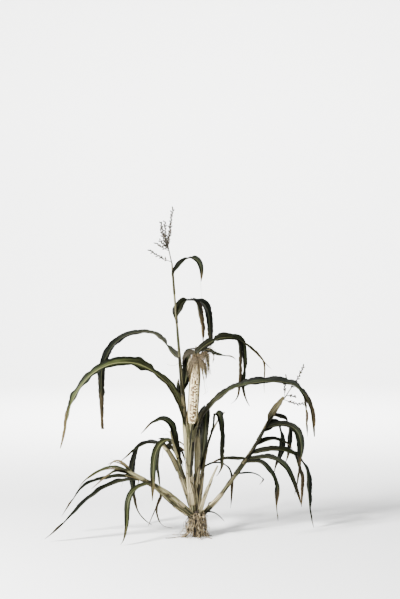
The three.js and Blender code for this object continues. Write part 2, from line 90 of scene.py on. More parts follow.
SWELL_FOR_RADIUS = 10
# JOINT swells each joint; its dark keys set the joint's darker band, deepened with painted shade just below
# the swelling
JOINT = dict(swell=0.9, reach=4.2, dark=0.7, dark_reach=3.2, dark_below=2)
# SEAM sets each sheath edge as a small step round the stem; its dark key is a painted shadow line beside
# that step
SEAM = dict(aside=0.75, wander=0.5, step=0.7, reach=2.6, width=0.3, dark=0.85)
FOOT_DARK = dict(share=0.75, reach=26)
PALE_BLOOM = dict(share=0.4, above=26, reach=30)


def spread(values, t):
    place = min(max(t, 0.0), 1.0) * (len(values) - 1)
    low = min(int(place), max(len(values) - 2, 0))
    high = min(low + 1, len(values) - 1)
    return values[low] + (values[high] - values[low]) * (place - low)


def smooth(low, high, value):
    share = min(max((value - low) / (high - low), 0.0), 1.0)
    return share * share * (3.0 - 2.0 * share)


def bump(reach, value):
    return math.exp(-(value / reach) ** 2)


def rough(*place):
    return noise.noise(Vector(place))


def heading(rise, toward):
    slope, plan = math.radians(rise), math.radians(toward)
    flat = math.cos(slope)
    return Vector((flat * math.cos(plan), flat * math.sin(plan), math.sin(slope)))


def angles_of(direction):
    """Rise and heading in plan, in degrees"""
    return math.degrees(math.asin(direction.z)), math.degrees(math.atan2(direction.y, direction.x))


def growth_line(foot, length, rise, toward, turn=(0,), floor=None, **others):
    """Line that grows from its foot: its point, direction, side and face at a share of its length"""
    points, slopes = [Vector(foot)], []
    for step in range(LINE_STEPS):
        t = (step + 0.5) / LINE_STEPS
        slopes.append(spread(rise, t))
        if floor is not None:
            slopes[-1] = max(slopes[-1], (floor - points[-1].z) * SETTLING)
        points.append(points[-1] + heading(slopes[-1], spread(toward, t)) * (length / LINE_STEPS))

    def station(t):
        place = t * LINE_STEPS
        low = min(max(int(place), 0), LINE_STEPS - 1)
        point = points[low].lerp(points[low + 1], place - low)
        along = heading(spread(rise, t) if floor is None else slopes[low], spread(toward, t))
        side = heading(0, spread(toward, t) + 90)
        side = Quaternion(along, math.radians(spread(turn, t))) @ side
        return point, along, side, along.cross(side)

    return station


def join_into(bm, part):
    mesh = bpy.data.meshes.new("part")
    part.to_mesh(mesh)
    part.free()
    bm.from_mesh(mesh)
    bpy.data.meshes.remove(mesh)


def add_skin(bm, columns, rows, place):
    """Sheet whose sides meet again, so that it closes round a line; place gives point, tone and pattern"""
    part = bmesh.new()
    uv_layer = part.loops.layers.uv.new("UVMap")
    tone_layer = part.verts.layers.float_color.new("tone")
    bmesh.ops.create_grid(part, x_segments=columns, y_segments=rows, size=0.5)
    patterns = {}
    for vert in part.verts:
        point, tone, patterns[vert] = place(vert.co.x + 0.5, vert.co.y + 0.5)
        vert.co = point
        vert[tone_layer] = (*tone, 1.0)
    for face in part.faces:
        face.smooth = True
        for loop in face.loops:
            loop[uv_layer].uv = patterns[loop.vert]
    rim = [vert for vert in part.verts if vert.is_boundary]
    bmesh.ops.remove_doubles(part, verts=rim, dist=WELD)
    ends = [edge for edge in part.edges if edge.is_boundary]
    for face in bmesh.ops.holes_fill(part, edges=ends, sides=0)["faces"]:
        for loop in face.loops:
            near = next(other for other in loop.vert.link_loops if other.face != face)
            loop[uv_layer].uv = near[uv_layer].uv
    join_into(bm, part)


def around_line(side, face, u):
    return side * math.cos(u * 2 * math.pi) + face * math.sin(u * 2 * math.pi)


def add_thread(
        bm, foot, length, rise, toward, radius, sides=5, row_length=5.0, lumps=0.0, floor=None,
        tone=(0, 0, 0)):
    """Thin round strand along a growth line, which comes to rest on the floor where it reaches one"""
    line = growth_line(foot, length, rise, toward, floor=floor)

    def place(u, t):
        point, along, side, face = line(t)
        distance = t * length
        girth = spread(radius, t)
        if lumps:
            around = around_line(Vector((1, 0, 0)), Vector((0, 1, 0)), u) * THREAD_LUMPS["around"]
            girth *= 1 + lumps * noise.noise(around + Vector((length, 0, distance * THREAD_LUMPS["along"])))
        return point + around_line(side, face, u) * girth, tone, (u, distance * MM)

    add_skin(bm, sides, max(round(length / row_length), 3), place)


def finish_piece(name, bm, material, slot, *nodes):
    mesh = bpy.data.meshes.new(name)
    bm.to_mesh(mesh)
    bm.free()
    mesh.transform(Matrix.Scale(MM, 4))
    mesh.materials.append(material)
    piece = bpy.data.objects.new(name, mesh)
    bpy.context.scene.collection.objects.link(piece)
    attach(piece, "root")
    if nodes:
        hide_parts(*nodes)


def add_node(tree, kind, values=None, **settings):
    made = tree.nodes.new(kind)
    for key, value in settings.items():
        setattr(made, key, value)
    for socket, value in (values or {}).items():
        if isinstance(value, bpy.types.NodeSocket):
            tree.links.new(value, made.inputs[socket])
        else:
            made.inputs[socket].default_value = value
    return made


def mixed(tree, share, first, second):
    made = add_node(tree, "ShaderNodeMix", {0: share}, data_type="RGBA")
    for socket, value in ((6, first), (7, second)):
        if isinstance(value, bpy.types.NodeSocket):
            tree.links.new(value, made.inputs[socket])
        else:
            made.inputs[socket].default_value = (*value, 1.0)
    return made.outputs[2]


def sum_of(tree, operation, first, second):
    return add_node(tree, "ShaderNodeMath", {0: first, 1: second}, operation=operation).outputs[0]


def ramped(tree, value, low, high, start=0.0, end=1.0):
    values = {0: value, 1: low, 2: high, 3: start, 4: end}
    return add_node(tree, "ShaderNodeMapRange", values, interpolation_type="SMOOTHSTEP").outputs[0]


def grain(tree, coordinates, scale, detail=3.0, stretch=(1, 1, 1)):
    mapped = add_node(tree, "ShaderNodeMapping", {"Vector": coordinates, "Scale": stretch}).outputs[0]
    values = {"Vector": mapped, "Scale": scale, "Detail": detail}
    return add_node(tree, "ShaderNodeTexNoise", values).outputs["Fac"]


def waves(tree, coordinates, scale, distortion, detail):
    values = {"Vector": coordinates, "Scale": scale, "Distortion": distortion, "Detail": detail}
    return add_node(tree, "ShaderNodeTexWave", values, bands_direction="X").outputs["Fac"]


def new_finish(name, roughness, specular=0.5):
    material = bpy.data.materials.new(name)
    material.use_nodes = True
    tree = material.node_tree
    shader = tree.nodes["Principled BSDF"]
    shader.inputs["Roughness"].default_value = roughness
    shader.inputs["Specular IOR Level"].default_value = specular
    uv = add_node(tree, "ShaderNodeUVMap", uv_map="UVMap").outputs[0]
    tone = add_node(tree, "ShaderNodeAttribute", attribute_name="tone").outputs["Color"]
    tones = add_node(tree, "ShaderNodeSeparateColor", {0: tone}).outputs
    return material, tree, shader, uv, tones


def set_surface(tree, shader, colour, height, depth):
    tree.links.new(colour, shader.inputs["Base Color"])
    relief = add_node(tree, "ShaderNodeBump", {"Height": height, "Distance": depth, "Strength": 0.8})
    tree.links.new(relief.outputs[0], shader.inputs["Normal"])


def stem_finish(name, green, straw, dark):
    material, tree, shader, uv, tones = new_finish(name, 0.56, specular=0.2)
    streaks = grain(tree, uv, 1.0, 5.0, (12, 4, 1))
    blotches = grain(tree, uv, 1.0, 4.0, (7, 9, 1))
    base = mixed(tree, ramped(tree, streaks, 0.44, 0.56), green, straw)
    base = mixed(tree, ramped(tree, blotches, 0.52, 0.62, 0.0, 0.9), base, dark)
    base = mixed(tree, sum_of(tree, "MULTIPLY", tones[1], 0.6), base, straw)
    # The first tone darkens towards the dark colour: at the foot, at the joints, as painted shade under each
    # joint and as a painted shadow line beside each sheath edge
    base = mixed(tree, tones[0], base, dark)
    fibres = waves(tree, uv, STEM_RIBS * 0.32, 1.6, 2.0)
    height = sum_of(tree, "ADD", fibres, streaks)
    set_surface(tree, shader, base, height, 0.0004)
    return material


STEM_FINISHES = {
    "stalk": stem_finish("stalk_finish", (0.026, 0.028, 0.012), (0.2, 0.18, 0.105), (0.005, 0.004, 0.002)),
    "green": stem_finish(
        "green_stem_finish", (0.008, 0.009, 0.004), (0.11, 0.1, 0.055), (0.003, 0.0022, 0.001)),
    "sheath": stem_finish("sheath_finish", (0.09, 0.08, 0.044), (0.46, 0.42, 0.28), (0.014, 0.01, 0.005)),
}


def grow_stem(name, stem):
    line = growth_line(**stem)
    length, joints = stem["length"], stem["joints"]
    stem_seed = Vector((0, 0, len(name) * 3.1 + length * 0.37))

    def place(u, t):
        point, along, side, face = line(t)
        angle, distance = u * 2 * math.pi, t * length
        ring = max(bump(JOINT["reach"], distance - joint) for joint in joints)
        girth = spread(stem["radius"], t)
        radius = girth + JOINT["swell"] * ring * girth / SWELL_FOR_RADIUS
        wide = STEM_LUMPS["around"]
        spot = Vector((math.cos(angle) * wide, math.sin(angle) * wide, distance * STEM_LUMPS["along"]))
        radius *= 1 + STEM_LUMPS["size"] * noise.noise(spot + stem_seed)
        radius += RIB_DEPTH * math.sin(angle * STEM_RIBS) * (1 - ring)
        internode = sum(distance > joint for joint in joints)
        wander = rough(distance * 0.02, internode * 3.7, length)
        seam = math.atan2(-face.y, -side.y) + (SEAM["aside"] if internode % 2 else -SEAM["aside"])
        from_seam = (angle - seam - SEAM["wander"] * wander) % (2 * math.pi)
        step = SEAM["step"] * radius / SWELL_FOR_RADIUS
        radius += step * (1 - smooth(0, SEAM["reach"], from_seam)) * (1 - ring)
        # Painted shade: a dark line coloured just beside each sheath edge step, for the shadow of that edge
        seam_painted_shade = SEAM["dark"] * bump(SEAM["width"], 2 * math.pi - from_seam)
        # The band just below each joint is the joint's own darker colour, deepened with painted shade under
        # the swelling; its strength varies at random
        joint_dark_unevenness = 0.5 + 0.7 * rough(angle * 0.9, distance * 0.03, length)
        from_joints = [distance - joint for joint in joints]
        below = JOINT["dark_below"]
        dark = JOINT["dark"] * joint_dark_unevenness * max(bump(JOINT["dark_reach"], past + below) for past in from_joints)
        dark = max(dark, FOOT_DARK["share"] * bump(FOOT_DARK["reach"], distance), seam_painted_shade)
        above, reach = PALE_BLOOM["above"], PALE_BLOOM["reach"]
        bloom = max(smooth(0, above, past) * bump(reach, past - above) for past in from_joints)
        tone = (dark, PALE_BLOOM["share"] * bloom, 0.0)
        return point + around_line(side, face, u) * radius, tone, (u, distance * MM)

    bm = bmesh.new()
    add_skin(bm, STEM_SIDES, round(length / STEM_ROW), place)
    finish_piece(name + "_stem", bm, STEM_FINISHES[stem.get("skin", stem["finish"])], stem["finish"], name)
    return line


stem_lines = {name: grow_stem(name, stem) for name, stem in STEMS.items()}


# Leaves of the main stalk: long strap blades, each folded along a pale midrib, with wavy margins and a dry
# tip. They are thin green tissue going straw brown, and each is fixed by its sheath, which wraps the stalk
# down to the joint below and opens into the blade at the collar.
BLADE_OUTLINE = (0.62, 0.86, 1, 1, 0.95, 0.85, 0.68, 0.42, 0.05)
BLADE_FROM = 0.985
LEAF_COLUMNS = 28
LEAF_ROW = 4.2
LEAF_WALL = 0.32
KEEL = (1.9, 1.5, 1.1, 0.8, 0.5, 0.3)
KEEL_SHARE = 0.11
KEEL_TOP = 0.3
FULL_WIDTH = 8
RIB_DROP = 0.5
RIB_DROP_START = (10, 70)
LEAF_REST = 0.3
LEAST_WIDTH = 0.25
COLLAR = (-10, 34)
SHEATH_GAP = 0.7
LAYER_GAP = 0.9
BLADE_MERGE = 30
SAMPLE_STEP = 3
SWAY = dict(length=60, share=2)
TEAR = dict(coarse=0.09, fine=0.31, fine_share=0.6, depth=1.5, start=(20, 80))
RIPPLE = dict(share=2.2, power=1.6, start=(0, 90))
CURL_START = 0.7
PALE_END = (-6, 30)
DRY_START = (-60, 10)
DRY_THREAD = (0.8, 0, 0)
PAINTED_SHADE_RIM = dict(share=0.8, start=0.8)
DRY_AND_SHADED_RIM = dict(share=0.9, start=0.86)
LEAF_LOOK = dict(
    fold=38, roll=-26, curl=40, wave=2.2, wavelength=34, sway=1.2, ragged=0.12,
    dry=(0.0, 0.05, 0.1, 0.3, 0.95), pale=(0.12, 0.0, 0.0), husk_pale=0.9, arc=(160, 120))
STRIP_LOOK = dict(
    fold=30, roll=20, curl=60, wave=1.6, wavelength=26, sway=2.2, ragged=0.3, dry=(0.3, 0.5, 0.8, 1.0))


def leaf_finish(name, deep, light, under, rib, straw, brown, sheath):
    material, tree, shader, uv, tones = new_finish(name, 0.5, specular=0.14)
    across = add_node(tree, "ShaderNodeSeparateXYZ", {0: uv}).outputs[0]
    from_rib = sum_of(tree, "ABSOLUTE", sum_of(tree, "SUBTRACT", across, 0.5), 0.0)
    streaks = grain(tree, uv, 1.0, 4.0, (16, 10, 1))
    bands = grain(tree, uv, 1.0, 3.0, (3.4, 6, 1))
    patches = grain(tree, uv, 1.0, 3.0, (3, 22, 1))
    broad, narrow = ramped(tree, bands, 0.42, 0.6, 0.0, 0.7), ramped(tree, streaks, 0.36, 0.66, 0.0, 0.3)
    green = mixed(tree, sum_of(tree, "ADD", broad, narrow), deep, light)
    # Painted shade: the underside, marked by the third tone, is coloured with the darker under colour
    green = mixed(tree, sum_of(tree, "MULTIPLY", tones[2], 0.8), green, under)
    green = mixed(tree, ramped(tree, from_rib, 0.022, 0.06, 0.75, 0.0), green, rib)
    dead = mixed(tree, ramped(tree, streaks, 0.3, 0.62), brown, straw)
    # Painted shade: the sides of the blade away from the rib are darkened towards the deep green, for the
    # shade on its folded sides
    green = mixed(tree, ramped(tree, from_rib, 0.24, 0.36, 0.0, 0.9), green, deep)
    dryness = sum_of(tree, "ADD", tones[0], sum_of(tree, "SUBTRACT", patches, 0.5))
    base = mixed(tree, ramped(tree, dryness, 0.3, 0.72), green, dead)
    pale = sum_of(tree, "MULTIPLY", tones[1], ramped(tree, streaks, 0.4, 0.56, 0.4, 1.1))
    base = mixed(tree, pale, base, sheath)
    veins = waves(tree, uv, 7.0, 0.5, 1.0)
    height = sum_of(tree, "ADD", veins, sum_of(tree, "MULTIPLY", streaks, 0.8))
    tree.links.new(ramped(tree, dryness, 0.3, 0.8, 0.46, 0.75), shader.inputs["Roughness"])
    set_surface(tree, shader, base, height, 0.00035)
    return material


# In each set, the under colour is painted shade: the undersides of the blades are coloured darker than their
# upper sides
GREEN_TONES = dict(
    deep=(0.0025, 0.004, 0.001), light=(0.058, 0.068, 0.027), under=(0.011, 0.014, 0.007),
    rib=(0.17, 0.17, 0.085), straw=(0.16, 0.125, 0.065), brown=(0.009, 0.006, 0.003),
    sheath=(0.3, 0.27, 0.16))
DARK_TONES = dict(
    deep=(0.0012, 0.0018, 0.0007), light=(0.016, 0.021, 0.007), under=(0.004, 0.0055, 0.0025),
    rib=(0.07, 0.072, 0.035), straw=(0.075, 0.055, 0.028), brown=(0.005, 0.0035, 0.002),
    sheath=(0.12, 0.105, 0.06))
PALE_FOOT_TONES = {**DARK_TONES, "light": (0.018, 0.023, 0.008), "sheath": (0.36, 0.32, 0.2)}
LEAF_FINISHES = {
    "leaf": leaf_finish("leaf_finish", **GREEN_TONES),
    "dark_leaf": leaf_finish("dark_leaf_finish", **DARK_TONES),
    "pale_foot_leaf": leaf_finish("pale_foot_leaf_finish", **PALE_FOOT_TONES),
}


def leaf_line(spec, foot):
    """Length of a leaf, and its station and half width at a distance from its foot"""
    length, outline = spec["length"], spec.get("outline", BLADE_OUTLINE)
    near = growth_line(foot, **spec)

    def near_half(distance):
        return spec["width"] / 2 * spread(outline, distance / length)

    if "blade" not in spec:
        return length, lambda distance: near(distance / length), near_half
    joint = BLADE_FROM * length
    far_length, far, far_half = leaf_line(spec["blade"], near(BLADE_FROM)[0])

    def half(distance):
        share = smooth(joint - BLADE_MERGE, joint + BLADE_MERGE, distance)
        return near_half(distance) * (1 - share) + far_half(max(distance - joint, 0)) * share

    def station(distance):
        return near(distance / length) if distance < joint else far(distance - joint)

    return joint + far_length, station, half


def fold_section(s, fold, roll):
    """Across and up at a share s of the half width, for a folded section whose sides are rolled"""
    lean, bend, reach = math.radians(fold), math.radians(roll), abs(s)
    if abs(bend) < 0.01:
        return math.copysign(reach, s), reach * math.tan(lean)
    across = (math.sin(lean + bend * reach) - math.sin(lean)) / bend
    full = (math.sin(lean + bend) - math.sin(lean)) / bend
    up = (math.cos(lean) - math.cos(lean + bend * reach)) / bend
    scale = max(full, 0.5)
    return math.copysign(across / scale, s), up / scale


def stem_sampler(name):
    """Nearest station of a stem to a point, as its point, direction and radius"""
    stem, line = STEMS[name], stem_lines[name]
    count = round(stem["length"] / SAMPLE_STEP)
    tree = kdtree.KDTree(count + 1)
    for i in range(count + 1):
        tree.insert(line(i / count)[0], i)
    tree.balance()

    def nearest(point):
        index = tree.find(point)[1]
        centre, along, _, _ = line(index / count)
        return centre, along, spread(stem["radius"], index / count)

    return nearest


stem_nearest = {name: stem_sampler(name) for name in STEMS}


def pushed_out(point, nearest, gap):
    centre, along, radius = nearest(point)
    away = point - centre
    height = away.dot(along)
    away -= along * height
    if away.length >= radius + gap or height > radius:
        return point
    return centre + along * height + away.normalized() * (radius + gap)


def add_blade(bm, spec, foot, look, seed, stem=None, layer=0):
    length, station_at, half_at = leaf_line(spec, foot)
    sheath = spec.get("sheath", 0) if stem else 0
    total = sheath + length
    stations = {}
    if stem:
        stem_line, stem_length = stem_lines[stem], STEMS[stem]["length"]
        leaving = heading(spec["rise"][0], spec["toward"][0])
    gap = SHEATH_GAP + LAYER_GAP * layer

    def row(distance):
        if distance not in stations:
            point, along, side, face = station_at(max(distance, 0.0))
            share = max(distance, 0.0) / length
            drift = rough(distance / SWAY["length"], seed * 2.7, 5.0) * look["sway"] * SWAY["share"]
            point = point + side * (drift * smooth(0, SWAY["length"], distance))
            wrap = None
            if stem and distance < COLLAR[1]:
                t = min(max((spec["at"] + distance) / stem_length, 0.0), 1.0)
                centre, stem_along, _, _ = stem_line(t)
                out = leaving - stem_along * leaving.dot(stem_along)
                out = out.normalized() if out.length > 0.05 else -station_at(0.0)[3]
                arc = math.radians(spread(look["arc"], (distance + sheath) / max(sheath, 1)))
                wrap = centre, out, stem_along.cross(out), spread(STEMS[stem]["radius"], t) + gap, arc
            stations[distance] = point, side, face, share, half_at(max(distance, 0.0)), wrap
        return stations[distance]

    def margin(distance, sign, half):
        torn = max(rough(distance * TEAR["coarse"], seed * 3.3, sign * 4.0), 0.0)
        torn += TEAR["fine_share"] * max(rough(distance * TEAR["fine"], seed * 1.9, sign * 9.0), 0.0)
        wide = half * (1 - look["ragged"] * TEAR["depth"] * torn * smooth(*TEAR["start"], distance))
        for centre, reach, amount, which in look.get("lobes", ()):
            if which in (0, sign):
                wide += amount * bump(reach, distance - centre)
        return max(wide, LEAST_WIDTH)

    def place(u, t):
        distance = t * total - sheath
        point, side, face, share, half, wrap = row(round(distance, 4))
        top = u <= 0.5
        s = 1 - 4 * u if top else 4 * u - 3
        sign = 1 if s >= 0 else -1
        roll = look["roll"] + look["curl"] * smooth(CURL_START, 1.0, share)
        across, up = fold_section(s, look["fold"], roll)
        middle = RIB_DROP * fold_section(1, look["fold"], roll)[1] * half * smooth(*RIB_DROP_START, distance)
        wide = margin(distance, sign, half)
        fullness = min(wide / FULL_WIDTH, 1)
        wavy = RIPPLE["share"] * look["wave"] * abs(s) ** RIPPLE["power"]
        wavy = wavy * smooth(*RIPPLE["start"], distance) * fullness
        ripple = wavy * rough(distance / look["wavelength"], seed * 5.1, sign * 2.0)
        keel = spread(KEEL, share) * fullness * bump(KEEL_SHARE, s)
        wall = LEAF_WALL * (1 - s ** 6)
        under = -wall if top else wall
        rise = up * wide - middle + ripple - under - keel * (KEEL_TOP if top else 1)
        spot = point + side * (across * wide) + face * rise
        if wrap:
            centre, out, left, radius, arc = wrap
            hug = centre + (out * math.cos(s * arc) + left * math.sin(s * arc)) * (radius + under)
            spot = hug.lerp(spot, smooth(*COLLAR, distance))
        spot.z = max(spot.z, LEAF_REST + (wall if top else 0))
        if stem and distance > COLLAR[0]:
            spot = pushed_out(spot, stem_nearest[stem], gap + under)
        pale = look["husk_pale"] * (1 - smooth(*PALE_END, distance)) if stem and sheath else 0
        pale = max(pale, spread(look.get("pale", (0,)), share))
        # Painted shade: the pale colour is taken off towards both margins, so that the edges read darker as
        # shaded sides
        pale *= 1 - PAINTED_SHADE_RIM["share"] * smooth(PAINTED_SHADE_RIM["start"], 1.0, abs(s))
        dry = spread(look["dry"], share) * smooth(*DRY_START, distance)
        # Painted shadow and dry edge: the sheath margins are coloured dry and dark, partly as dry tissue and
        # partly for the shadow line where one sheath edge overlaps another
        if distance < 0:
            dry = max(dry, DRY_AND_SHADED_RIM["share"] * smooth(DRY_AND_SHADED_RIM["start"], 1.0, abs(s)))
        # The third tone marks the underside, which the leaf finish colours darker as painted shade
        return spot, (dry, pale, 0.0 if top else 1.0), ((s + 1) / 2, distance * MM)

    add_skin(bm, LEAF_COLUMNS, max(round(total / LEAF_ROW), 8), place)


def leaf(at, length, width, rise, toward, turn=(0,), **others):
    """Settings of a leaf or strip: place on its stem, length, width, then rise, heading and turn along it"""
    return dict(at=at, length=length, width=width, rise=rise, toward=toward, turn=turn, **others)


def grow_leaves(stem, leaves, line=None):
    """One piece for each leaf, which stands for that leaf's node and for the node of its tip"""
    own_line, length = line or (stem_lines[stem], STEMS[stem]["length"])
    for number, spec in enumerate(leaves, 1):
        node_name = f"{stem}_leaf_{number}"
        seed = len(stem) + number * 1.37
        foot = own_line(spec["at"] / length)[0]
        near = growth_line(foot, **spec)
        bm = bmesh.new()
        look = {**LEAF_LOOK, **spec.get("look", {})}
        add_blade(bm, spec, foot, look, seed, None if line else stem, spec.get("layer", 0))
        outer = spec.get("blade", spec)
        outer_line = near if outer is spec else growth_line(near(BLADE_FROM)[0], **outer)
        for k, strip in enumerate(outer.get("strips", ())):
            strip_foot = outer_line(strip["at"] / outer["length"])[0]
            add_blade(bm, strip, strip_foot, {**STRIP_LOOK, **strip.get("look", {})}, seed + k + 0.5)
        for share, reach, rise, toward, girth in spec.get("threads", ()):
            add_thread(bm, near(share)[0], reach, rise, toward, (girth, girth * 0.6), tone=DRY_THREAD)
        nodes = [name for name in (node_name, node_name + "_tip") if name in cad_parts]
        finish = spec.get("finish", "dark_leaf")
        slot = "leaf" if finish == "leaf" else "dark_leaf"
        finish_piece(node_name + "_blade", bm, LEAF_FINISHES[finish], slot, *nodes)


grow_leaves("main_stalk", (
    leaf(
        302, 245, 38, (80, 75, 62, 44, 36), (-140, -170), (-70, -62, -45), finish="leaf",
        outline=(0.65, 0.95, 1, 0.9, 0.8), sheath=94, layer=1,
        look=dict(
            fold=32, wave=3.2, dry=(0.1, 0.1, 0.12, 0.15, 0.3, 0.9),
            lobes=(
                (290, 20, 13, 1), (296, 16, 7, -1), (326, 12, -4, 1), (240, 10, -6, 0), (560, 12, 4, -1))),
        blade=dict(
            length=496, width=48, rise=(36, 9, -20, -46, -66, -82, -72), toward=(-170, -165, -155),
            turn=(-44, -32, -10), outline=(0.76, 0.96, 0.98, 0.84, 0.7, 0.6, 0.48, 0.36, 0.1))),
    leaf(
        536, 632, 31, (44, 47, 0, -28, -60, -86, -88, -82), (145, 160, 60), (72, 60, 22, 0), sheath=144,
        outline=(0.85, 0.75, 0.55, 0.64, 1, 0.9, 0.8, 0.52, 0.4),
        look=dict(
            wave=3.0, ragged=0.24, husk_pale=0.2, dry=(0, 0.1, 0.1, 0.2, 0.45, 0.8),
            lobes=((74, 9, -7, 0), (92, 9, 4, 1), (30, 14, 3, 0), (430, 12, 3, 1), (500, 10, 3, -1))),
        threads=((0.1, 62, (2, -14, -30), (0, -10), 0.5), (0.0, 50, (-60, -30, 10, 20), (180, 176), 0.6))),
    leaf(
        426, 230, 34, (60, 60, 55, -50), (65, 90, 40), sheath=126, layer=1,
        look=dict(ragged=0.3, husk_pale=0.5)),
    leaf(404, 76, 21, (58, 78, 96), (178,), (70,), sheath=20, layer=2),
    leaf(
        682, 330, 38, (86, 54, 2, -4, -50, -78, -83, -86), (50, 45, 45, 60, 65), (20, 15, 0, -10, -28, -30),
        outline=(1, 0.9, 0.9, 0.95, 0.9, 0.75, 0.62, 0.6, 0.3), sheath=16,
        look=dict(
            lobes=((100, 7, -9, 0), (34, 16, 5, -1), (200, 34, 4, 1)), ragged=0.2, husk_pale=0.0,
            dry=(0, 0, 0, 0.2, 0.6)),
        strips=(leaf(112, 190, 22, (-12, -55, -78, -84), (50, 70, 90)),)),
    leaf(
        826, 220, 27, (52, 48, 34, -2, -50, -75, -75), (-55, -40, -35, -130),
        (10, 0, -8, 5, 40, 30, -4, -30), sheath=60,
        look=dict(lobes=((106, 6, -5, 0),), husk_pale=0.4, dry=(0, 0, 0, 0.2, 0.8)),
        threads=((1.0, 56, (-88, -84), (-90, 40), 0.4),)),
))


# Leaves of the second stalk: one arches far to the right and is torn into two strips at its end, the other
# stands up, breaks over and hangs. They are green going dry, and their sheaths wrap the pale stalk.
grow_leaves("second_stalk", (
    leaf(
        254, 226, 34, (82, 72, 48, 42, 34), (-60, -40, -25, -15), (78, 62, 40), finish="pale_foot_leaf",
        outline=(0.75, 0.9, 0.95, 1), sheath=110,
        look=dict(
            pale=(0.2, 0.05, 0, 0, 0), husk_pale=0.8, wave=2.8, ragged=0.2, dry=(0, 0.1, 0.15, 0.3, 0.8),
            lobes=((276, 10, 9, -1), (300, 10, -4, -1), (480, 8, -4, 0))),
        blade=dict(
            length=428, width=40, rise=(24, 12, 4, -14, -52, -76, -88), toward=(-15, -10, -40, -70),
            turn=(36, 30, 8), outline=(0.85, 0.95, 1, 1, 0.8, 0.6, 0.5, 0.36, 0.08),
            strips=(leaf(256, 176, 13, (-50, -80, -85), (35, 95), (20,), look=dict(ragged=0.6)),))),
    leaf(
        118, 596, 27, (59, 59, 59, 52, -62, -70, -80, -85), (62, 72, 80, 84, 124, 92, 92, 110),
        (0, 0, 0, 24, 36, 0, 0, 0), sheath=60, layer=1, outline=(0.4, 0.75, 1, 1, 0.8, 1, 0.8, 0.5, 0.1),
        look=dict(husk_pale=0.3, lobes=((306, 26, -4, 0),))),
))


# Leaves of the third stalk: one broken over at its top so that its end hangs beside it, and a narrow one
# that curls off to the back. They are dry green tissue on the joints of a thin pale stem.
grow_leaves("third_stalk", (
    leaf(
        208, 400, 25, (64, 64, 62, 72, 84, -60, -88, -88, -88, -88, -44, -44),
        (-60, -56, -54, -30, -60, -160), (42, 36, 10, 0), sheath=60,
        outline=(0.5, 0.75, 0.8, 0.7, 1, 1, 0.8, 0.5, 0.1),
        look=dict(ragged=0.25, dry=(0, 0, 0.1, 0.3, 0.7), lobes=((176, 9, 5, 0),))),
    leaf(
        148, 290, 14, (40, -5, -60, -75, -80), (45, 30, 85, 130), (15,), sheath=40,
        look=dict(dry=(0, 0, 0.2, 0.8, 1))),
))


# Leaves of the right tiller: a crowd of dark narrow blades that arch over and hang towards the floor, two
# of them torn at the side, and one short pale flag near the tassel. They are drying tissue on its joints.
grow_leaves("right_tiller", (
    leaf(
        358, 282, 33, (32, 50, -70, -86, -56, -66, -78), (15, 30, 110, 160), (34, 40, 30, 20), sheath=50,
        outline=(0.6, 0.95, 1, 1, 0.8, 0.6, 0.4, 0.05), look=dict(husk_pale=0.15)),
    leaf(
        428, 225, 24, (4, -8, -56, -84, -86, -82, -58), (14, 24, 82, 130, 150), (50, 20), sheath=40,
        outline=(1, 1, 1, 1, 0.9, 0.7, 0.5, 0.1), look=dict(husk_pale=0.0)),
    leaf(
        372, 356, 30, (35, 14, -34, -74, -84, -80, -76), (-10, -22, -70, -172, -168), (48, 30, 10),
        sheath=40, layer=1, look=dict(husk_pale=0.1, dry=(0, 0, 0, 0.3, 0.9, 1))),
    leaf(300, 168, 24, (45, 25, -5, -25, -65), (25, 10, 5), (32,), sheath=40, look=dict(husk_pale=0.15)),
    leaf(
        268, 463, 32, (30, 2, -36, -80, -84, -75), (5, 5, 70, 10), (38, 30, 20, 25), sheath=50, layer=1,
        look=dict(husk_pale=0.15, dry=(0, 0, 0.1, 0.2, 0.5)),
        strips=(leaf(167, 205, 16, (-60, -75, -80), (20, 60, 115)),)),
    leaf(
        250, 312, 27, (18, 14, -18, -56, -70, -70), (-30, -38), (42, 25, 15), sheath=40,
        look=dict(husk_pale=0.15, dry=(0, 0, 0.1, 0.4, 0.8))),
    leaf(
        230, 250, 22, (34, 4, -52, -64, -80), (-30, -40, -35, -145), (42, 20, 10), sheath=40, layer=1,
        look=dict(husk_pale=0.15), strips=(leaf(176, 132, 8, (-86, -80, -84), (170, -60)),)),
    leaf(185, 160, 12, (15, 0, -35, -45), (30, 25, 25, 165), (20,), sheath=40, look=dict(curl=90)),
    leaf(254, 132, 15, (10, 12, -8, -25), (-155, -160), (-50,), sheath=20, layer=2),
    leaf(
        400, 112, 25, (62, 58, 50), (30, -20), (70,), outline=(0.6, 0.95, 1, 0.9, 0.35), sheath=30,
        look=dict(pale=(0.7, 0.85, 0.8), ragged=0.25, fold=14, dry=(0.5, 0.5, 0.6))),
    leaf(10, 92, 9, (35, 5, -40, -50), (-15, -5), (20,), sheath=10),
))


# Leaves of the upper left shoot: two narrow blades, one rising steeply before it arches to the left and one
# that hangs in front. They are green drying tissue, held by short sheaths on a thin stem.
grow_leaves("upper_left_shoot", (
    leaf(
        120, 274, 28, (80, 80, 79, 79, 34, -24, -46, -46), (165, 160, 165, 170), (-44, -40, -50, -62),
        sheath=50, outline=(0.5, 0.7, 0.9, 1, 1, 0.8, 0.5, 0.3, 0.05), look=dict(husk_pale=0.3),
        threads=((0.34, 82, (44, 40, 36), (172, 176), 0.45),)),
    leaf(
        196, 264, 25, (44, -40, -62, -78, -88), (-150, -105, -75), (-34, 0), finish="leaf", sheath=50,
        look=dict(dry=(0.2, 0.1, 0.2, 0.4, 0.9))),
))


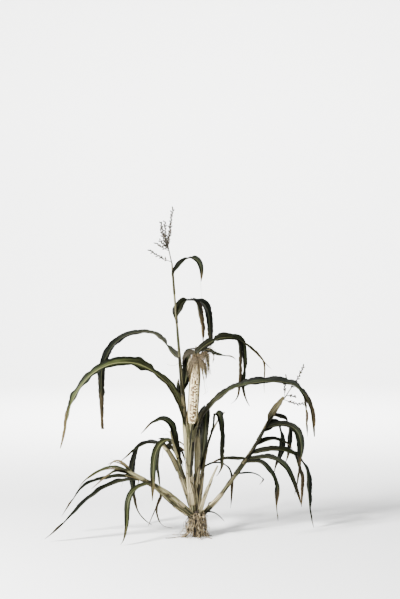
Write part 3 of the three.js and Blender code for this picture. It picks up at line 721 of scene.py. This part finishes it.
# Leaves of the upper left tiller: four blades that part at its top, the longest hanging down at the back to
# the floor, the shortest torn to shreds. They are drying tissue, and their sheaths wrap the tiller.
grow_leaves("upper_left_tiller", (
    leaf(
        262, 172, 14, (12, 6, -35, -40, -35), (-170, -160), (-25,), sheath=60,
        look=dict(dry=(0.2, 0.1, 0.1, 0.5, 1))),
    leaf(
        250, 448, 26, (32, 2, -62, -66, -78, -80, -58, -30), (150, 152, 100, 34, 5), sheath=90, layer=1,
        look=dict(dry=(0, 0, 0.1, 0.5, 0.9), husk_pale=0.7)),
    leaf(256, 195, 12, (-35, -65, -70, -75, -70), (150, 100, 70, 45), finish="leaf", sheath=20, layer=2),
    leaf(
        236, 90, 18, (60, 20, -50, -80), (60, 20), (20,), sheath=80, layer=2,
        look=dict(ragged=0.5, dry=(0.1, 0.4, 0.9)),
        strips=(
            leaf(4, 96, 11, (40, -30, -64, -72), (-60, -20, 40), (20,)),
            leaf(8, 84, 11, (20, -44, -58, -50), (-30, -10), (60,)),
            leaf(10, 74, 9, (70, 20, -20, -60), (20, -30), (50,)),
            leaf(6, 66, 9, (60, 30, -10, -30), (150, 170), (-50,)),
            leaf(12, 80, 10, (-20, -60, -70, -84), (10, -20), (60,)),
            leaf(20, 70, 10, (-10, -50, -30, -70), (-40, -60), (50,)),
            leaf(2, 88, 10, (24, 0, -40, -66), (0, 10), (60,)),
            leaf(36, 92, 10, (-50, -74, -64, -70), (-20, 0), (60,), look=dict(dry=(0.1, 0.2, 0.5))),
            leaf(50, 74, 9, (-30, -60, -80), (-40, 0), (50,), look=dict(dry=(0.1, 0.2, 0.5))),
            leaf(30, 56, 10, (50, 20, -24), (165, 175), (-60,), look=dict(dry=(0.1, 0.2, 0.5)))),
        threads=(
            (0.1, 84, (50, -10, -56, -70), (-40, 0), 0.6), (0.6, 76, (10, -50, -60), (-20, 20), 0.6),
            (0.2, 66, (40, -40, -80), (150, 120), 0.4), (0.3, 70, (20, -30, -82, -86), (-150, -120), 0.5),
            (0.4, 56, (60, 10, -60), (-60, 30), 0.4), (0.5, 60, (70, 40, -30), (170, 150), 0.45))),
))


# Leaves of the lower left tiller: eight narrow blades that fan out low to the left, three of them reaching
# the floor. They are dry green and straw tissue, held by sheaths along the leaning stem.
grow_leaves("lower_left_tiller", (
    leaf(
        150, 303, 23, (46, 24, -14, -31, -62, -76, -82, -82, -40), (-155, -145, -95, -165), (-15,),
        finish="leaf", sheath=70, layer=2, look=dict(dry=(0.1, 0, 0.1, 0.3, 0.6))),
    leaf(196, 378, 22, (36, 6, -4, -12, -22, -52, -56, -56), (165, 170), (-28,), sheath=60, layer=1),
    leaf(
        268, 205, 15, (30, 20, -25, -30, -60), (-160, -165), (-25,), finish="leaf", sheath=50,
        look=dict(dry=(0.1, 0.1, 0.2, 0.4, 0.7))),
    leaf(
        208, 407, 23, (16, -7, -33, -45, -45, -36), (-170, -175), (-30, -15), sheath=60, layer=2,
        look=dict(dry=(0, 0, 0.1, 0.3, 0.6))),
    leaf(
        250, 176, 14, (18, 12, 10, -35, -40, -40, -40), (172, 176), (-25,), finish="leaf", sheath=40,
        layer=1, look=dict(dry=(0.3, 0.4, 0.6, 1))),
    leaf(
        260, 115, 14, (35, 35, 40, 20, -30, -55), (145, 150, 170), (-25,), finish="leaf", sheath=40,
        layer=2, look=dict(dry=(0.3, 0.5, 0.8, 1)),
        strips=(
            leaf(6, 116, 8, (26, 18, -2, -34), (-172, -176), (-30,)),
            leaf(10, 138, 7, (10, 12, 2, -24, -40), (176, 172), (-30,)),
            leaf(12, 92, 6, (44, 40, 10, -50), (-176,), (-20,)),
            leaf(4, 150, 6, (-6, 2, -12, -38, -46), (-178, 178), (-30,))),
        threads=((0.3, 66, (30, 34, 10), (172, 176), 0.45), (0.1, 62, (-30, -60, -75), (176, 160), 0.5))),
    leaf(142, 150, 12, (-50, -60, -65), (110, 140, 160), sheath=20, layer=3, look=dict(dry=(0.6, 0.8, 1))),
    leaf(
        134, 256, 8, (-20, -40, -55, -46, 0), (115, 110, 70, 25), sheath=20, layer=3,
        look=dict(dry=(0.4, 0.7, 1))),
))


# Ear: a cob packed with rows of hard pale kernels, of which a few are missing. It sits on the end of its
# shank, and grows on up the line of the shank.
EAR = dict(length=204, rise=(85,), toward=(-40,))
EAR_RADIUS = (11, 15.2, 16, 16, 15.8, 15.2, 14, 11, 5)
EAR_GAP = 0.35
KERNEL_ROWS = 12
KERNEL_RINGS = 42
KERNEL_DEPTH = 8.5
KERNEL_SIDES = (8, 6)
KERNEL_ROOT = 1.5
KERNEL_FILL = dict(width=0.94, length=0.96)
KERNEL_SQUARENESS = 0.62
KERNEL_UNEVEN = 0.5
ROW_WAVE = dict(share=0.12, turns=7)
COB_SIDES = 24
COB_INSET = 3.4
COB_LEAST = 1.5
MISSING_ABOVE = 0.46
EATEN = dict(toward=-88, reach=52, low=0.03, high=0.84, share=0.46)

ear_foot = stem_lines["ear_shank"](1.0)[0] + Vector((0, 0, EAR_GAP))
ear_line = growth_line(ear_foot, **EAR)


def plain_finish(name, colours, roughness, scale, depth):
    material, tree, shader, uv, tones = new_finish(name, roughness)
    place = add_node(tree, "ShaderNodeTexCoord").outputs["Object"]
    spots = grain(tree, place, scale, 3.0)
    base = mixed(tree, ramped(tree, spots, 0.35, 0.65), *colours)
    set_surface(tree, shader, base, spots, depth)
    return material


def add_kernel(bm, centre, out, along, width, pitch):
    part = bmesh.new()
    bmesh.ops.create_uvsphere(part, u_segments=KERNEL_SIDES[0], v_segments=KERNEL_SIDES[1], radius=1)
    across = along.cross(out)
    size = (width / 2, pitch / 2, KERNEL_DEPTH / 2)
    for vert in part.verts:
        square = [math.copysign(abs(value) ** KERNEL_SQUARENESS, value) for value in vert.co]
        vert.co = (
            centre + across * square[0] * size[0] + along * square[1] * size[1]
            + out * square[2] * size[2])
    for face in part.faces:
        face.smooth = True
    join_into(bm, part)


def cob_place(u, t):
    point, along, side, face = ear_line(t)
    radius = max(spread(EAR_RADIUS, t) - COB_INSET, COB_LEAST)
    return point + around_line(side, face, u) * radius, (0, 0, 0), (u, t)


cob = bmesh.new()
add_skin(cob, COB_SIDES, KERNEL_RINGS, cob_place)
cob_finish = plain_finish("cob_finish", ((0.09, 0.06, 0.03), (0.2, 0.14, 0.08)), 0.8, 240, 0.0006)
finish_piece("ear_cob", cob, cob_finish, "kernel", "ear")

kernels = bmesh.new()
for ring in range(KERNEL_RINGS):
    for row_number in range(KERNEL_ROWS):
        t = (ring + 0.5 + 0.5 * (row_number % 2)) / (KERNEL_RINGS + 0.5)
        point, along, side, face = ear_line(t)
        aside = ROW_WAVE["share"] * math.sin(t * ROW_WAVE["turns"])
        out = around_line(side, face, (row_number + aside) / KERNEL_ROWS)
        luck = rough(ring * 0.47, row_number * 1.7, 3.0)
        bite = 0.5 + rough(ring * 0.83, row_number * 2.9, 7.0)
        eaten_side = math.cos(math.radians(EATEN["reach"])) < out.dot(heading(0, EATEN["toward"]))
        eaten = eaten_side and EATEN["low"] < t < EATEN["high"] and bite < EATEN["share"]
        if luck > MISSING_ABOVE or eaten:
            continue
        radius = spread(EAR_RADIUS, t)
        width = 2 * math.pi * (radius - KERNEL_ROOT) / KERNEL_ROWS * KERNEL_FILL["width"]
        centre = point + out * (radius - KERNEL_DEPTH / 2 + KERNEL_UNEVEN * luck)
        add_kernel(kernels, centre, out, along, width, EAR["length"] / KERNEL_RINGS * KERNEL_FILL["length"])
kernel_finish = plain_finish("kernel_finish", ((0.6, 0.5, 0.29), (0.78, 0.7, 0.48)), 0.34, 160, 0.0002)
finish_piece("ear_kernels", kernels, kernel_finish, "kernel")


# Husk: papery ribbed sheaths that wrap the ear one over the other and have drawn back to show it on one
# side. They are dry fibrous tissue, grown from the shank, and their tops end in free curled tips.
HUSK = dict(below=62, above=34)
HUSK_RADIUS = (11, 15, 19.6, 21, 21, 21, 20.5, 20, 18, 12)
HUSK_OPENING = (30, 60, 190, 215, 215, 205, 190, 150, 120)
HUSK_OPEN_TO = -96
HUSK_LAYERS = (
    dict(start=0.0, end=1.0, inset=0.0, open_left=0, open_right=0, seed=1),
    dict(start=0.05, end=0.97, inset=-1.0, open_left=26, open_right=-8, seed=2),
    dict(start=0.02, end=0.86, inset=1.3, open_left=-14, open_right=20, seed=3),
    dict(start=0.0, end=0.5, inset=-1.9, open_left=70, open_right=16, seed=4),
)
HUSK_COLUMNS = 72
HUSK_ROWS = 76
HUSK_RIBS = 46
HUSK_WALL = 0.3
HUSK_FRAY = (9, 7)
HUSK_EDGE_LIFT = dict(height=1.2, reach=0.07, start=(0.1, 0.4))
HUSK_RELIEF = dict(ribs=0.28, waves=0.9)
HUSK_DARK = dict(share=0.6, start=0.9)
HUSK_GREEN = (0.16, 0.25)
HUSK_HUG = dict(depth=4.4, start=(0.22, 0.32), end=(0.84, 0.97))
# The place of each tip is measured down from the top of the husk
HUSK_TIPS = (
    leaf(22, 78, 24, (86, 50, -20, -60, -84), (160, 185, 175), (-50,), look=dict(dry=(0.85, 0.9, 0.9))),
    leaf(14, 50, 15, (10, -40, -66), (-160, -130, -150), (20,), look=dict(dry=(0, 0, 0.2))),
    leaf(16, 58, 9, (-10, -50, -76), (-140, -150, -120), look=dict(dry=(0, 0, 0.1))),
    leaf(34, 62, 20, (10, -40, -80, -84), (180, 170, 150), look=dict(dry=(0.8, 0.9, 0.95), ragged=0.8)),
    leaf(34, 100, 16, (60, -20, -80, -80, -75), (-55, -60, 100), (10,)),
    leaf(30, 84, 13, (40, -30, -78, -84, -60), (-20, -10, -120), (30,)),
    leaf(20, 96, 13, (38, 20, -60, -84, -72), (-10, -20, -90, 170), (20,)),
    leaf(18, 104, 12, (42, 30, 10, -74, -66), (-14, -10, -60, 175), (30,)),
    leaf(16, 86, 14, (40, 34, -40, -84, -80), (0, -10, -90, -150), (10,), look=dict(dry=(0.5, 0.7, 1))),
    leaf(24, 52, 17, (85, 80, 60), (90,)),
)
HUSK_TIP_LOOK = dict(
    fold=16, roll=30, curl=70, wave=3.0, wavelength=14, sway=3, ragged=0.55, dry=(0.1, 0.3, 0.6),
    pale=(0.3, 0.4))

husk_length = HUSK["below"] + EAR["length"] + HUSK["above"]
husk_foot = stem_lines["ear_shank"](1 - HUSK["below"] / STEMS["ear_shank"]["length"])[0]
husk_line = growth_line(husk_foot, husk_length, EAR["rise"], EAR["toward"])


def husk_finish():
    material, tree, shader, uv, tones = new_finish("husk_finish", 0.62, specular=0.2)
    fibres = grain(tree, uv, 1.0, 4.0, (70, 10, 1))
    stains = grain(tree, uv, 1.0, 3.0, (6, 22, 1))
    base = mixed(tree, ramped(tree, fibres, 0.35, 0.65), (0.2, 0.165, 0.09), (0.56, 0.5, 0.33))
    base = mixed(tree, ramped(tree, stains, 0.5, 0.66, 0.0, 0.85), base, (0.05, 0.038, 0.02))
    fresh = mixed(tree, ramped(tree, fibres, 0.42, 0.58), (0.022, 0.023, 0.01), (0.13, 0.12, 0.065))
    base = mixed(tree, tones[1], base, fresh)
    base = mixed(tree, tones[0], base, (0.005, 0.0035, 0.002))
    set_surface(tree, shader, base, fibres, 0.0005)
    return material


def add_husk_layer(bm, start, end, inset, open_left, open_right, seed):
    def place(u, t):
        outer = u <= 0.5
        s = 2 * u if outer else 2 - 2 * u
        share = start + (end - start) * t
        half = spread(HUSK_OPENING, share) / 2
        low = HUSK_OPEN_TO + half + open_right + HUSK_FRAY[0] * rough(share * 14, seed * 3.0, 1.0)
        high = HUSK_OPEN_TO + 360 - half - open_left + HUSK_FRAY[1] * rough(share * 17, seed * 2.0, 8.0)
        angle = low + (high - low) * s
        reach = HUSK_EDGE_LIFT["reach"]
        lift = HUSK_EDGE_LIFT["height"] * (bump(reach, s) + bump(reach, 1 - s))
        lift *= smooth(*HUSK_EDGE_LIFT["start"], share)
        ribs = HUSK_RELIEF["ribs"] * math.sin(math.radians(angle) * HUSK_RIBS)
        ribs += HUSK_RELIEF["waves"] * rough(angle * 0.02, share * 5, seed)
        wall = HUSK_WALL * (1 - (2 * s - 1) ** 6)
        radius = spread(HUSK_RADIUS, share) - inset + ribs + lift + (wall if outer else -wall)
        hug = HUSK_HUG["depth"] * (0.7 + 0.3 * math.cos(math.radians(angle)))
        radius -= hug * smooth(*HUSK_HUG["start"], share) * (1 - smooth(*HUSK_HUG["end"], share))
        dark = HUSK_DARK["share"] * smooth(HUSK_DARK["start"], 1.0, share)
        tone = (dark, 1 - smooth(*HUSK_GREEN, share), 0)
        return husk_line(share)[0] + heading(0, angle) * radius, tone, (s, share * husk_length * MM)

    add_skin(bm, HUSK_COLUMNS, HUSK_ROWS, place)


husk = bmesh.new()
for layer in HUSK_LAYERS:
    add_husk_layer(husk, **layer)
for number, tip in enumerate(HUSK_TIPS):
    tip_foot = husk_line(1 - tip["at"] / husk_length)[0]
    add_blade(husk, tip, tip_foot, {**LEAF_LOOK, **HUSK_TIP_LOOK, **tip.get("look", {})}, 60 + number * 2.3)
bmesh.ops.recalc_face_normals(husk, faces=husk.faces)
finish_piece("ear_husk_wrap", husk, husk_finish(), "husk", "ear_husk")


# Flag leaves of the husk: the blades that the two outermost husks still carry, one long and torn into
# hanging strips, one short. They are dry thin tissue, grown from the top of the husk.
grow_leaves("ear_shank", (
    leaf(
        HUSK["below"] + 236, 430, 31, (54, 34, 8, -10, -88, -81, -64, -73, -57),
        (15, 12, 22, 25, 70, 120, 60, -10), (36, 40, 44, 60, 137, 170, 185, 140, 90),
        outline=(0.8, 1, 1, 0.85, 0.48, 0.5, 0.5, 0.3, 0.06),
        look=dict(
            ragged=0.2, wave=2.4, dry=(0.1, 0.0, 0.0, 0.2, 0.7),
            lobes=((54, 15, 11, -1), (79, 6, -9, 0), (112, 16, 3, 0), (240, 16, 1.5, 0), (290, 12, -2, 0))),
        strips=(
            leaf(
                146, 262, 14, (-11, -64, -87, -88, -89, -71, -35), (20, 80, 110, 155, 175),
                (-50, 5, 43, 77, 87)),
            leaf(156, 250, 8, (-26, -38, -50, -84, -86), (10, 10, 30, 120, 45), (-60, -60, -40, 20, -20)),
            leaf(156, 176, 7, (-26, -34, -43, -46, -50), (10, 10, 18, 20, 20), (-70,)))),
    leaf(
        HUSK["below"] + 228, 158, 14, (60, 24, -24, -18, 0, -40), (-30, -20), (50, 30),
        look=dict(dry=(0.2, 0.2, 0.3, 0.8), curl=70, wave=3.4)),
), line=(husk_line, husk_length))


# Silk: the dry brown threads that hang out over the top of the husk in a small tuft. They are fine hairs,
# each grown from a kernel of the cob.
SILK_ABOVE_EAR = 8
SILK_UP = 10
SILK_RADIUS = (0.5, 0.26)
SILK_STALK = dict(length=16, radius=(4, 5, 3), sides=12, row_length=2)
SILK = dict(
    strands=150, rise=(70, -10, -72, -84, -80), length=(52, 112), spread=(-130, 10), hang_to=10, lean=14)
SILK_HANG = -60
SILK_LONG = dict(
    strands=3, length=150, rise=(34, -50, -84, -86, -88, -86, -60, -34),
    toward=(-14, 0, 0, 10, 20, 190), lean=4)
SILK_FAN = dict(
    strands=120, bends=7, rise=34, lift=(-16, 12), toward=-14, swing=16, length=(66, 100), longer=0.08,
    fall=(-88, 11), steepest=-89, fall_lean=14, fall_swing=70)


def scatter(low, high, seed):
    wave = math.sin(seed * 12.9898) * 43758.5453
    return low + (high - low) * (wave - math.floor(wave))


def either_way(reach, seed):
    return scatter(-reach, reach, seed)


def add_silk(length, rises, ways):
    add_thread(silk, silk_foot + Vector((0, 0, SILK_UP)), length, rises, ways, SILK_RADIUS, sides=3)


silk = bmesh.new()
silk_foot = ear_line(1.0)[0] + Vector((0, 0, SILK_ABOVE_EAR))
add_thread(silk, silk_foot, rise=(88,), toward=(0,), **SILK_STALK)
for number in range(SILK["strands"]):
    outward = scatter(*SILK["spread"], number + 11)
    lean = either_way(SILK["lean"], number + 201)
    rises = [angle + lean for angle in SILK["rise"][:2]]
    rises += [min(angle + lean / 2, SILK_HANG) for angle in SILK["rise"][2:]]
    ways = (outward, outward + lean, SILK["hang_to"] + 2 * lean)
    add_silk(scatter(*SILK["length"], number + 300), rises, ways)
for number in range(SILK_FAN["strands"]):
    out = 1 + number % 4
    fall = SILK_FAN["fall"][0] + SILK_FAN["fall"][1] * out
    rises = [SILK_FAN["rise"] + scatter(*SILK_FAN["lift"], number + 700)] * out
    ways = [SILK_FAN["toward"] + either_way(SILK_FAN["swing"], number + 800)] * out
    for bend in range(SILK_FAN["bends"] - out):
        rises.append(max(fall + either_way(SILK_FAN["fall_lean"], number + 41 * bend), SILK_FAN["steepest"]))
        ways.append(180 + either_way(SILK_FAN["fall_swing"], number + 57 * bend))
    add_silk(scatter(*SILK_FAN["length"], number + 600) * (1 + SILK_FAN["longer"] * out), rises, ways)
for number in range(SILK_LONG["strands"]):
    rises = [angle + either_way(SILK_LONG["lean"], number + 900) for angle in SILK_LONG["rise"]]
    add_silk(SILK_LONG["length"], rises, SILK_LONG["toward"])
silk_finish = plain_finish("silk_finish", ((0.045, 0.034, 0.018), (0.27, 0.21, 0.125)), 0.55, 300, 0.0002)
finish_piece("ear_silk", silk, silk_finish, "silk", "silk")


# Tassels: the branched plumes of chaffy florets at the top of the main stalk and of the right tiller. They
# are stiff thin stalks set all round with small husked spikelets, grown from the end of each stem.
TASSELS = {
    "main_tassel": dict(
        stem="main_stalk", length=188, rise=(77, 78, 82, 83, 78), toward=(185, 180, 5, 0, -10),
        radius=(2.2, 0.6),
        branches=(
            dict(at=50, length=92, rise=(65, 75), toward=(-155, -130)),
            dict(at=50, length=96, rise=(72, 80), toward=(150, 100)),
            dict(at=44, length=88, rise=(72, 76), toward=(-175, 160)),
            dict(at=46, length=80, rise=(62, 72), toward=(170, 140)),
            dict(at=48, length=44, rise=(40, 50), toward=(-160,)),
            dict(at=44, length=52, rise=(25, 35), toward=(160,)),
            dict(at=6, length=84, rise=(20, 35), toward=(-170,)))),
    "right_tassel": dict(
        stem="right_tiller", length=155, rise=(35, 60, 50, 65, 65), toward=(5, 10), radius=(2.2, 0.8),
        branches=(
            dict(at=18, length=78, rise=(-20, -15, 15), toward=(-15,)),
            dict(at=34, length=42, rise=(0, -15), toward=(35,)),
            dict(at=26, length=78, rise=(80, 75), toward=(-115, -50)))),
}
BRANCH_RADIUS = (1.3, 0.5)
BARE_SHARE = dict(rachis=0.42, branch=0.2)
TASSEL_SUNK = 2
SPIKELET = dict(spacing=4.2, length=(9, 13), radius=(0.5, 2.7, 2.3, 0.3), splay=(22, 56))
GOLDEN_ANGLE = 137.5
tassel_finish = plain_finish("tassel_finish", ((0.008, 0.006, 0.003), (0.04, 0.03, 0.016)), 0.7, 180, 0.0003)


def add_spikelets(bm, spec, foot, bare):
    line = growth_line(foot, **spec)
    count = round(spec["length"] / SPIKELET["spacing"])
    for i in range(math.ceil(bare * count), count + 1):
        point, along, side, face = line(i / count)
        out = Quaternion(along, math.radians(i * GOLDEN_ANGLE)) @ face
        splay = math.radians(scatter(*SPIKELET["splay"], i + spec["length"]))
        away = (along * math.cos(splay) + out * math.sin(splay)).normalized()
        rise, toward = angles_of(away)
        length = scatter(*SPIKELET["length"], i + 50)
        add_thread(bm, point, length, (rise,), (toward,), SPIKELET["radius"], sides=6, row_length=2.4)


for name, spec in TASSELS.items():
    bm = bmesh.new()
    foot, along, _, _ = stem_lines[spec["stem"]](1.0)
    foot = foot - along * TASSEL_SUNK
    add_thread(bm, foot, spec["length"], spec["rise"], spec["toward"], spec["radius"], sides=8)
    add_spikelets(bm, spec, foot, BARE_SHARE["rachis"])
    rachis = growth_line(foot, **spec)
    for branch in spec["branches"]:
        branch_foot = rachis(branch["at"] / spec["length"])[0]
        add_thread(
            bm, branch_foot, branch["length"], branch["rise"], branch["toward"], BRANCH_RADIUS, sides=6)
        add_spikelets(bm, branch, branch_foot, BARE_SHARE["branch"])
    finish_piece(name + "_plume", bm, tassel_finish, "tassel", name)


# Crown bracts: the papery dead sheaths of the lowest leaves, still wrapped round the foot of each stalk.
# They are dry brown and straw tissue with torn free tips, fixed to the lowest joints.
BRACT_LOOK = dict(
    fold=24, roll=30, curl=-70, wave=2.2, wavelength=20, sway=2, ragged=0.6, dry=(0.0, 0.2, 0.5, 0.9),
    husk_pale=0.4, arc=(150, 110))
BRACTS = (
    ("main_stalk", (
        (62, 44, 30, 22, -60), (96, 50, 40, 20, 40), (132, 46, 30, 20, -20), (164, 40, 44, 18, 70))),
    ("second_stalk", ((58, 40, 34, 22, -20), (100, 44, 40, 22, 50), (142, 40, 30, 20, -50))),
    ("third_stalk", ((64, 44, 36, 16, 30), (112, 44, 30, 14, -60))),
    ("pale_shoot", ((56, 40, 26, 12, -40), (104, 40, 34, 11, 40))),
    ("right_tiller", ((40, 28, 40, 16, 60), (96, 44, 30, 16, -60))),
    ("upper_left_tiller", ((60, 36, 40, 20, -50), (112, 44, 34, 18, 50))),
    ("lower_left_tiller", ((44, 30, 34, 20, -60), (92, 40, 40, 18, 40))),
    ("lower_left_shoot", ((60, 36, 30, 12, -30),)),
)
BRACT_LEAN = (14, 6, 4)
BRACT_LAYER = 0.4
BRACT_STRAIGHTENS = 0.3

bracts = bmesh.new()
bract_rows = [(stem, *row) for stem, rows in BRACTS for row in rows]
for number, (stem, at, sheath, length, width, aside) in enumerate(bract_rows):
    foot, along, _, _ = stem_lines[stem](at / STEMS[stem]["length"])
    rise, toward = angles_of(along)
    rises = (rise - BRACT_LEAN[0], rise - BRACT_LEAN[1], rise - BRACT_LEAN[2] * (number % 5))
    ways = (toward + aside, toward + BRACT_STRAIGHTENS * aside)
    bract = leaf(at, length, width, rises, ways, sheath=sheath)
    layer = 1 + BRACT_LAYER * (number % 3)
    add_blade(bracts, bract, foot, {**LEAF_LOOK, **BRACT_LOOK}, 90 + number * 1.9, stem, layer)
bract_finish = stem_finish("bract_finish", (0.06, 0.048, 0.027), (0.4, 0.35, 0.22), (0.01, 0.007, 0.004))
finish_piece("crown_bracts", bracts, bract_finish, "sheath")


# Root clump: the crown of the plant with the stiff prop roots that stood in the soil and a mat of fine ones.
# It is woody root tissue with a little dried earth left in it, cut level where it stands on the floor; its
# core is coloured near black as painted shade between the roots.
ROOT_CORE = dict(height=88, radius=(22, 20, 22, 27, 27, 16), share=0.66, sides=48, rows=36)
CORE_LUMPS = (dict(size=3.2, around=1.6, along=0.07, aside=0), dict(size=1.6, around=5, along=0.25, aside=3))
ROOT_RINGS = (
    dict(
        count=18, start=(44, 86), inset=3, spare=(1.1, 1.4), leave=(-30, 30), fall=(-122, -50), swing=90,
        radius=(2.2, 1.3), seed=1),
    dict(
        count=34, start=(30, 84), inset=3, spare=(1.1, 1.6), leave=(-40, 30), fall=(-140, -30), swing=130,
        radius=(1.5, 0.9), seed=121),
    dict(
        count=90, start=(14, 80), inset=2, spare=(0.7, 1.7), leave=(-50, 50), fall=(-140, 20), swing=170,
        radius=(0.9, 0.5), seed=401),
)
ROOT_BENDS = 9
ROOT_LUMPS = 0.4
ROOT_REST = 1.4
FLOOR_ROOTS = (
    dict(
        height=40, length=128, radius=(2.3, 1.1), rise=(-20, -60, -20, -40, 0),
        toward=(-150, -170, -150, -168)),
    dict(height=56, length=98, radius=(1.9, 1.0), rise=(10, -60, -85, -60, -20), toward=(-50, -20, -60)),
    dict(height=30, length=96, radius=(1.6, 0.8), rise=(-20, -50, -10, -40), toward=(150, 180, 160)),
    dict(height=32, length=74, radius=(1.6, 0.8), rise=(-15, -60, -20, 0), toward=(-95, -60, -85)),
    dict(height=28, length=68, radius=(1.5, 0.8), rise=(-20, -50, -5, 0), toward=(50, 90, 70)),
)
ROOT_FLOOR = 0.2


def root_core_place(u, t):
    angle = u * 2 * math.pi
    height = ROOT_FLOOR + t * (ROOT_CORE["height"] - ROOT_FLOOR)
    out = Vector((math.cos(angle), math.sin(angle), 0))
    lumps = sum(
        lump["size"] * noise.noise(out * lump["around"] + Vector((lump["aside"], 0, height * lump["along"])))
        for lump in CORE_LUMPS)
    radius = spread(ROOT_CORE["radius"], t) * ROOT_CORE["share"] + lumps
    return out * radius + Vector((0, 0, height)), (0, 0, 0), (u, height * MM)


core = bmesh.new()
add_skin(core, ROOT_CORE["sides"], ROOT_CORE["rows"], root_core_place)
# Painted shade: the core is coloured near black, for the shade between the roots round it
crown_shade_finish = plain_finish("crown_shade_finish", ((0.006, 0.004, 0.0025), (0.03, 0.021, 0.012)), 0.9, 160, 0.0012)
finish_piece("root_core", core, crown_shade_finish, "root", "root_clump")


def root_bends(limits, seed, first):
    return [first, first] + [scatter(*limits, seed + 13 * bend) for bend in range(ROOT_BENDS)]


def add_root(foot, length, rises, ways, radius, sides):
    rest = ROOT_FLOOR + radius[0] * ROOT_REST
    add_thread(roots, foot, length, rises, ways, radius, sides, row_length=3.0, lumps=ROOT_LUMPS, floor=rest)


roots = bmesh.new()
for ring in ROOT_RINGS:
    for i in range(ring["count"]):
        seed, swing, way = ring["seed"] + i, ring["swing"], i * GOLDEN_ANGLE
        height = scatter(*ring["start"], seed)
        girth = spread(ROOT_CORE["radius"], height / ROOT_CORE["height"]) * ROOT_CORE["share"]
        foot = heading(0, way) * (girth - ring["inset"]) + Vector((0, 0, height))
        length = height * scatter(*ring["spare"], seed + 40)
        bends = root_bends(ring["fall"], seed + 80, scatter(*ring["leave"], seed + 60))
        ways = [way + turn for turn in root_bends((-swing, swing), seed + 200, 0)]
        add_root(foot, length, bends, ways, ring["radius"], 6)
for root in FLOOR_ROOTS:
    add_root((0, 0, root["height"]), root["length"], root["rise"], root["toward"], root["radius"], 8)
root_finish = plain_finish("root_finish", ((0.022, 0.016, 0.009), (0.3, 0.24, 0.145)), 0.8, 90, 0.0006)
finish_piece("root_strands", roots, root_finish, "root")


# Studio: a plain pale floor that curves up far behind the plant into a pale wall, a large soft light from
# the upper left, a weaker one from the right and one that lights the wall. The camera stands level.
STUDIO = dict(radius=6.5, rim=3.0, height=6.0, steps=64, rim_steps=12)


def studio_floor():
    bm = bmesh.new()
    profile = [bm.verts.new((0, 0, 0)), bm.verts.new((STUDIO["radius"], 0, 0))]
    rim = STUDIO["rim"]
    for step in range(1, STUDIO["rim_steps"] + 1):
        angle = step / STUDIO["rim_steps"] * math.pi / 2
        edge = (STUDIO["radius"] + rim * math.sin(angle), 0, rim * (1 - math.cos(angle)))
        profile.append(bm.verts.new(edge))
    profile.append(bm.verts.new((STUDIO["radius"] + rim, 0, STUDIO["height"])))
    edges = [bm.edges.new(pair) for pair in zip(profile, profile[1:])]
    bmesh.ops.spin(
        bm, geom=profile + edges, cent=(0, 0, 0), axis=(0, 0, 1), angle=2 * math.pi, steps=STUDIO["steps"],
        use_merge=True)
    bmesh.ops.remove_doubles(bm, verts=bm.verts, dist=1e-5)
    bmesh.ops.recalc_face_normals(bm, faces=bm.faces)
    bmesh.ops.reverse_faces(bm, faces=bm.faces)
    for face in bm.faces:
        face.smooth = True
    mesh = bpy.data.meshes.new("studio_floor")
    bm.to_mesh(mesh)
    bm.free()
    floor = bpy.data.objects.new("studio_floor", mesh)
    bpy.context.scene.collection.objects.link(floor)
    material, tree, shader, uv, tones = new_finish("studio_finish", 0.85)
    shader.inputs["Base Color"].default_value = (0.86, 0.86, 0.85, 1)
    mesh.materials.append(material)


def area_light(name, place, size, power, aim=(0, 0, 0.5)):
    data = bpy.data.lights.new(name, "AREA")
    data.shape, data.size, data.energy = "DISK", size, power
    light = bpy.data.objects.new(name, data)
    light.location = place
    light.rotation_euler = (Vector(aim) - Vector(place)).to_track_quat("-Z", "Y").to_euler()
    bpy.context.scene.collection.objects.link(light)


studio_floor()
area_light("key_light", (-2.8, -2.4, 2.9), 1.0, 700)
area_light("fill_light", (3.2, -1.6, 1.6), 2.4, 20)
area_light("wall_light", (0, 2.6, 4.4), 3.5, 1150, aim=(0, 9, 1.5))
world = bpy.data.worlds.new("studio_world")
world.use_nodes = True
backdrop = world.node_tree.nodes["Background"]
backdrop.inputs["Color"].default_value = (0.95, 0.96, 1.0, 1)
backdrop.inputs["Strength"].default_value = 0.36
bpy.context.scene.world = world

camera_data = bpy.data.cameras.new("camera")
camera_data.lens = 63.63
camera_data.sensor_width = 36
camera = bpy.data.objects.new("camera", camera_data)
camera.location = (0.0102, -3.6, 0.8058)
camera.rotation_euler = (math.radians(90), 0, 0)
bpy.context.scene.collection.objects.link(camera)
bpy.context.scene.camera = camera
bpy.context.scene.view_settings.look = "AgX - Medium High Contrast"
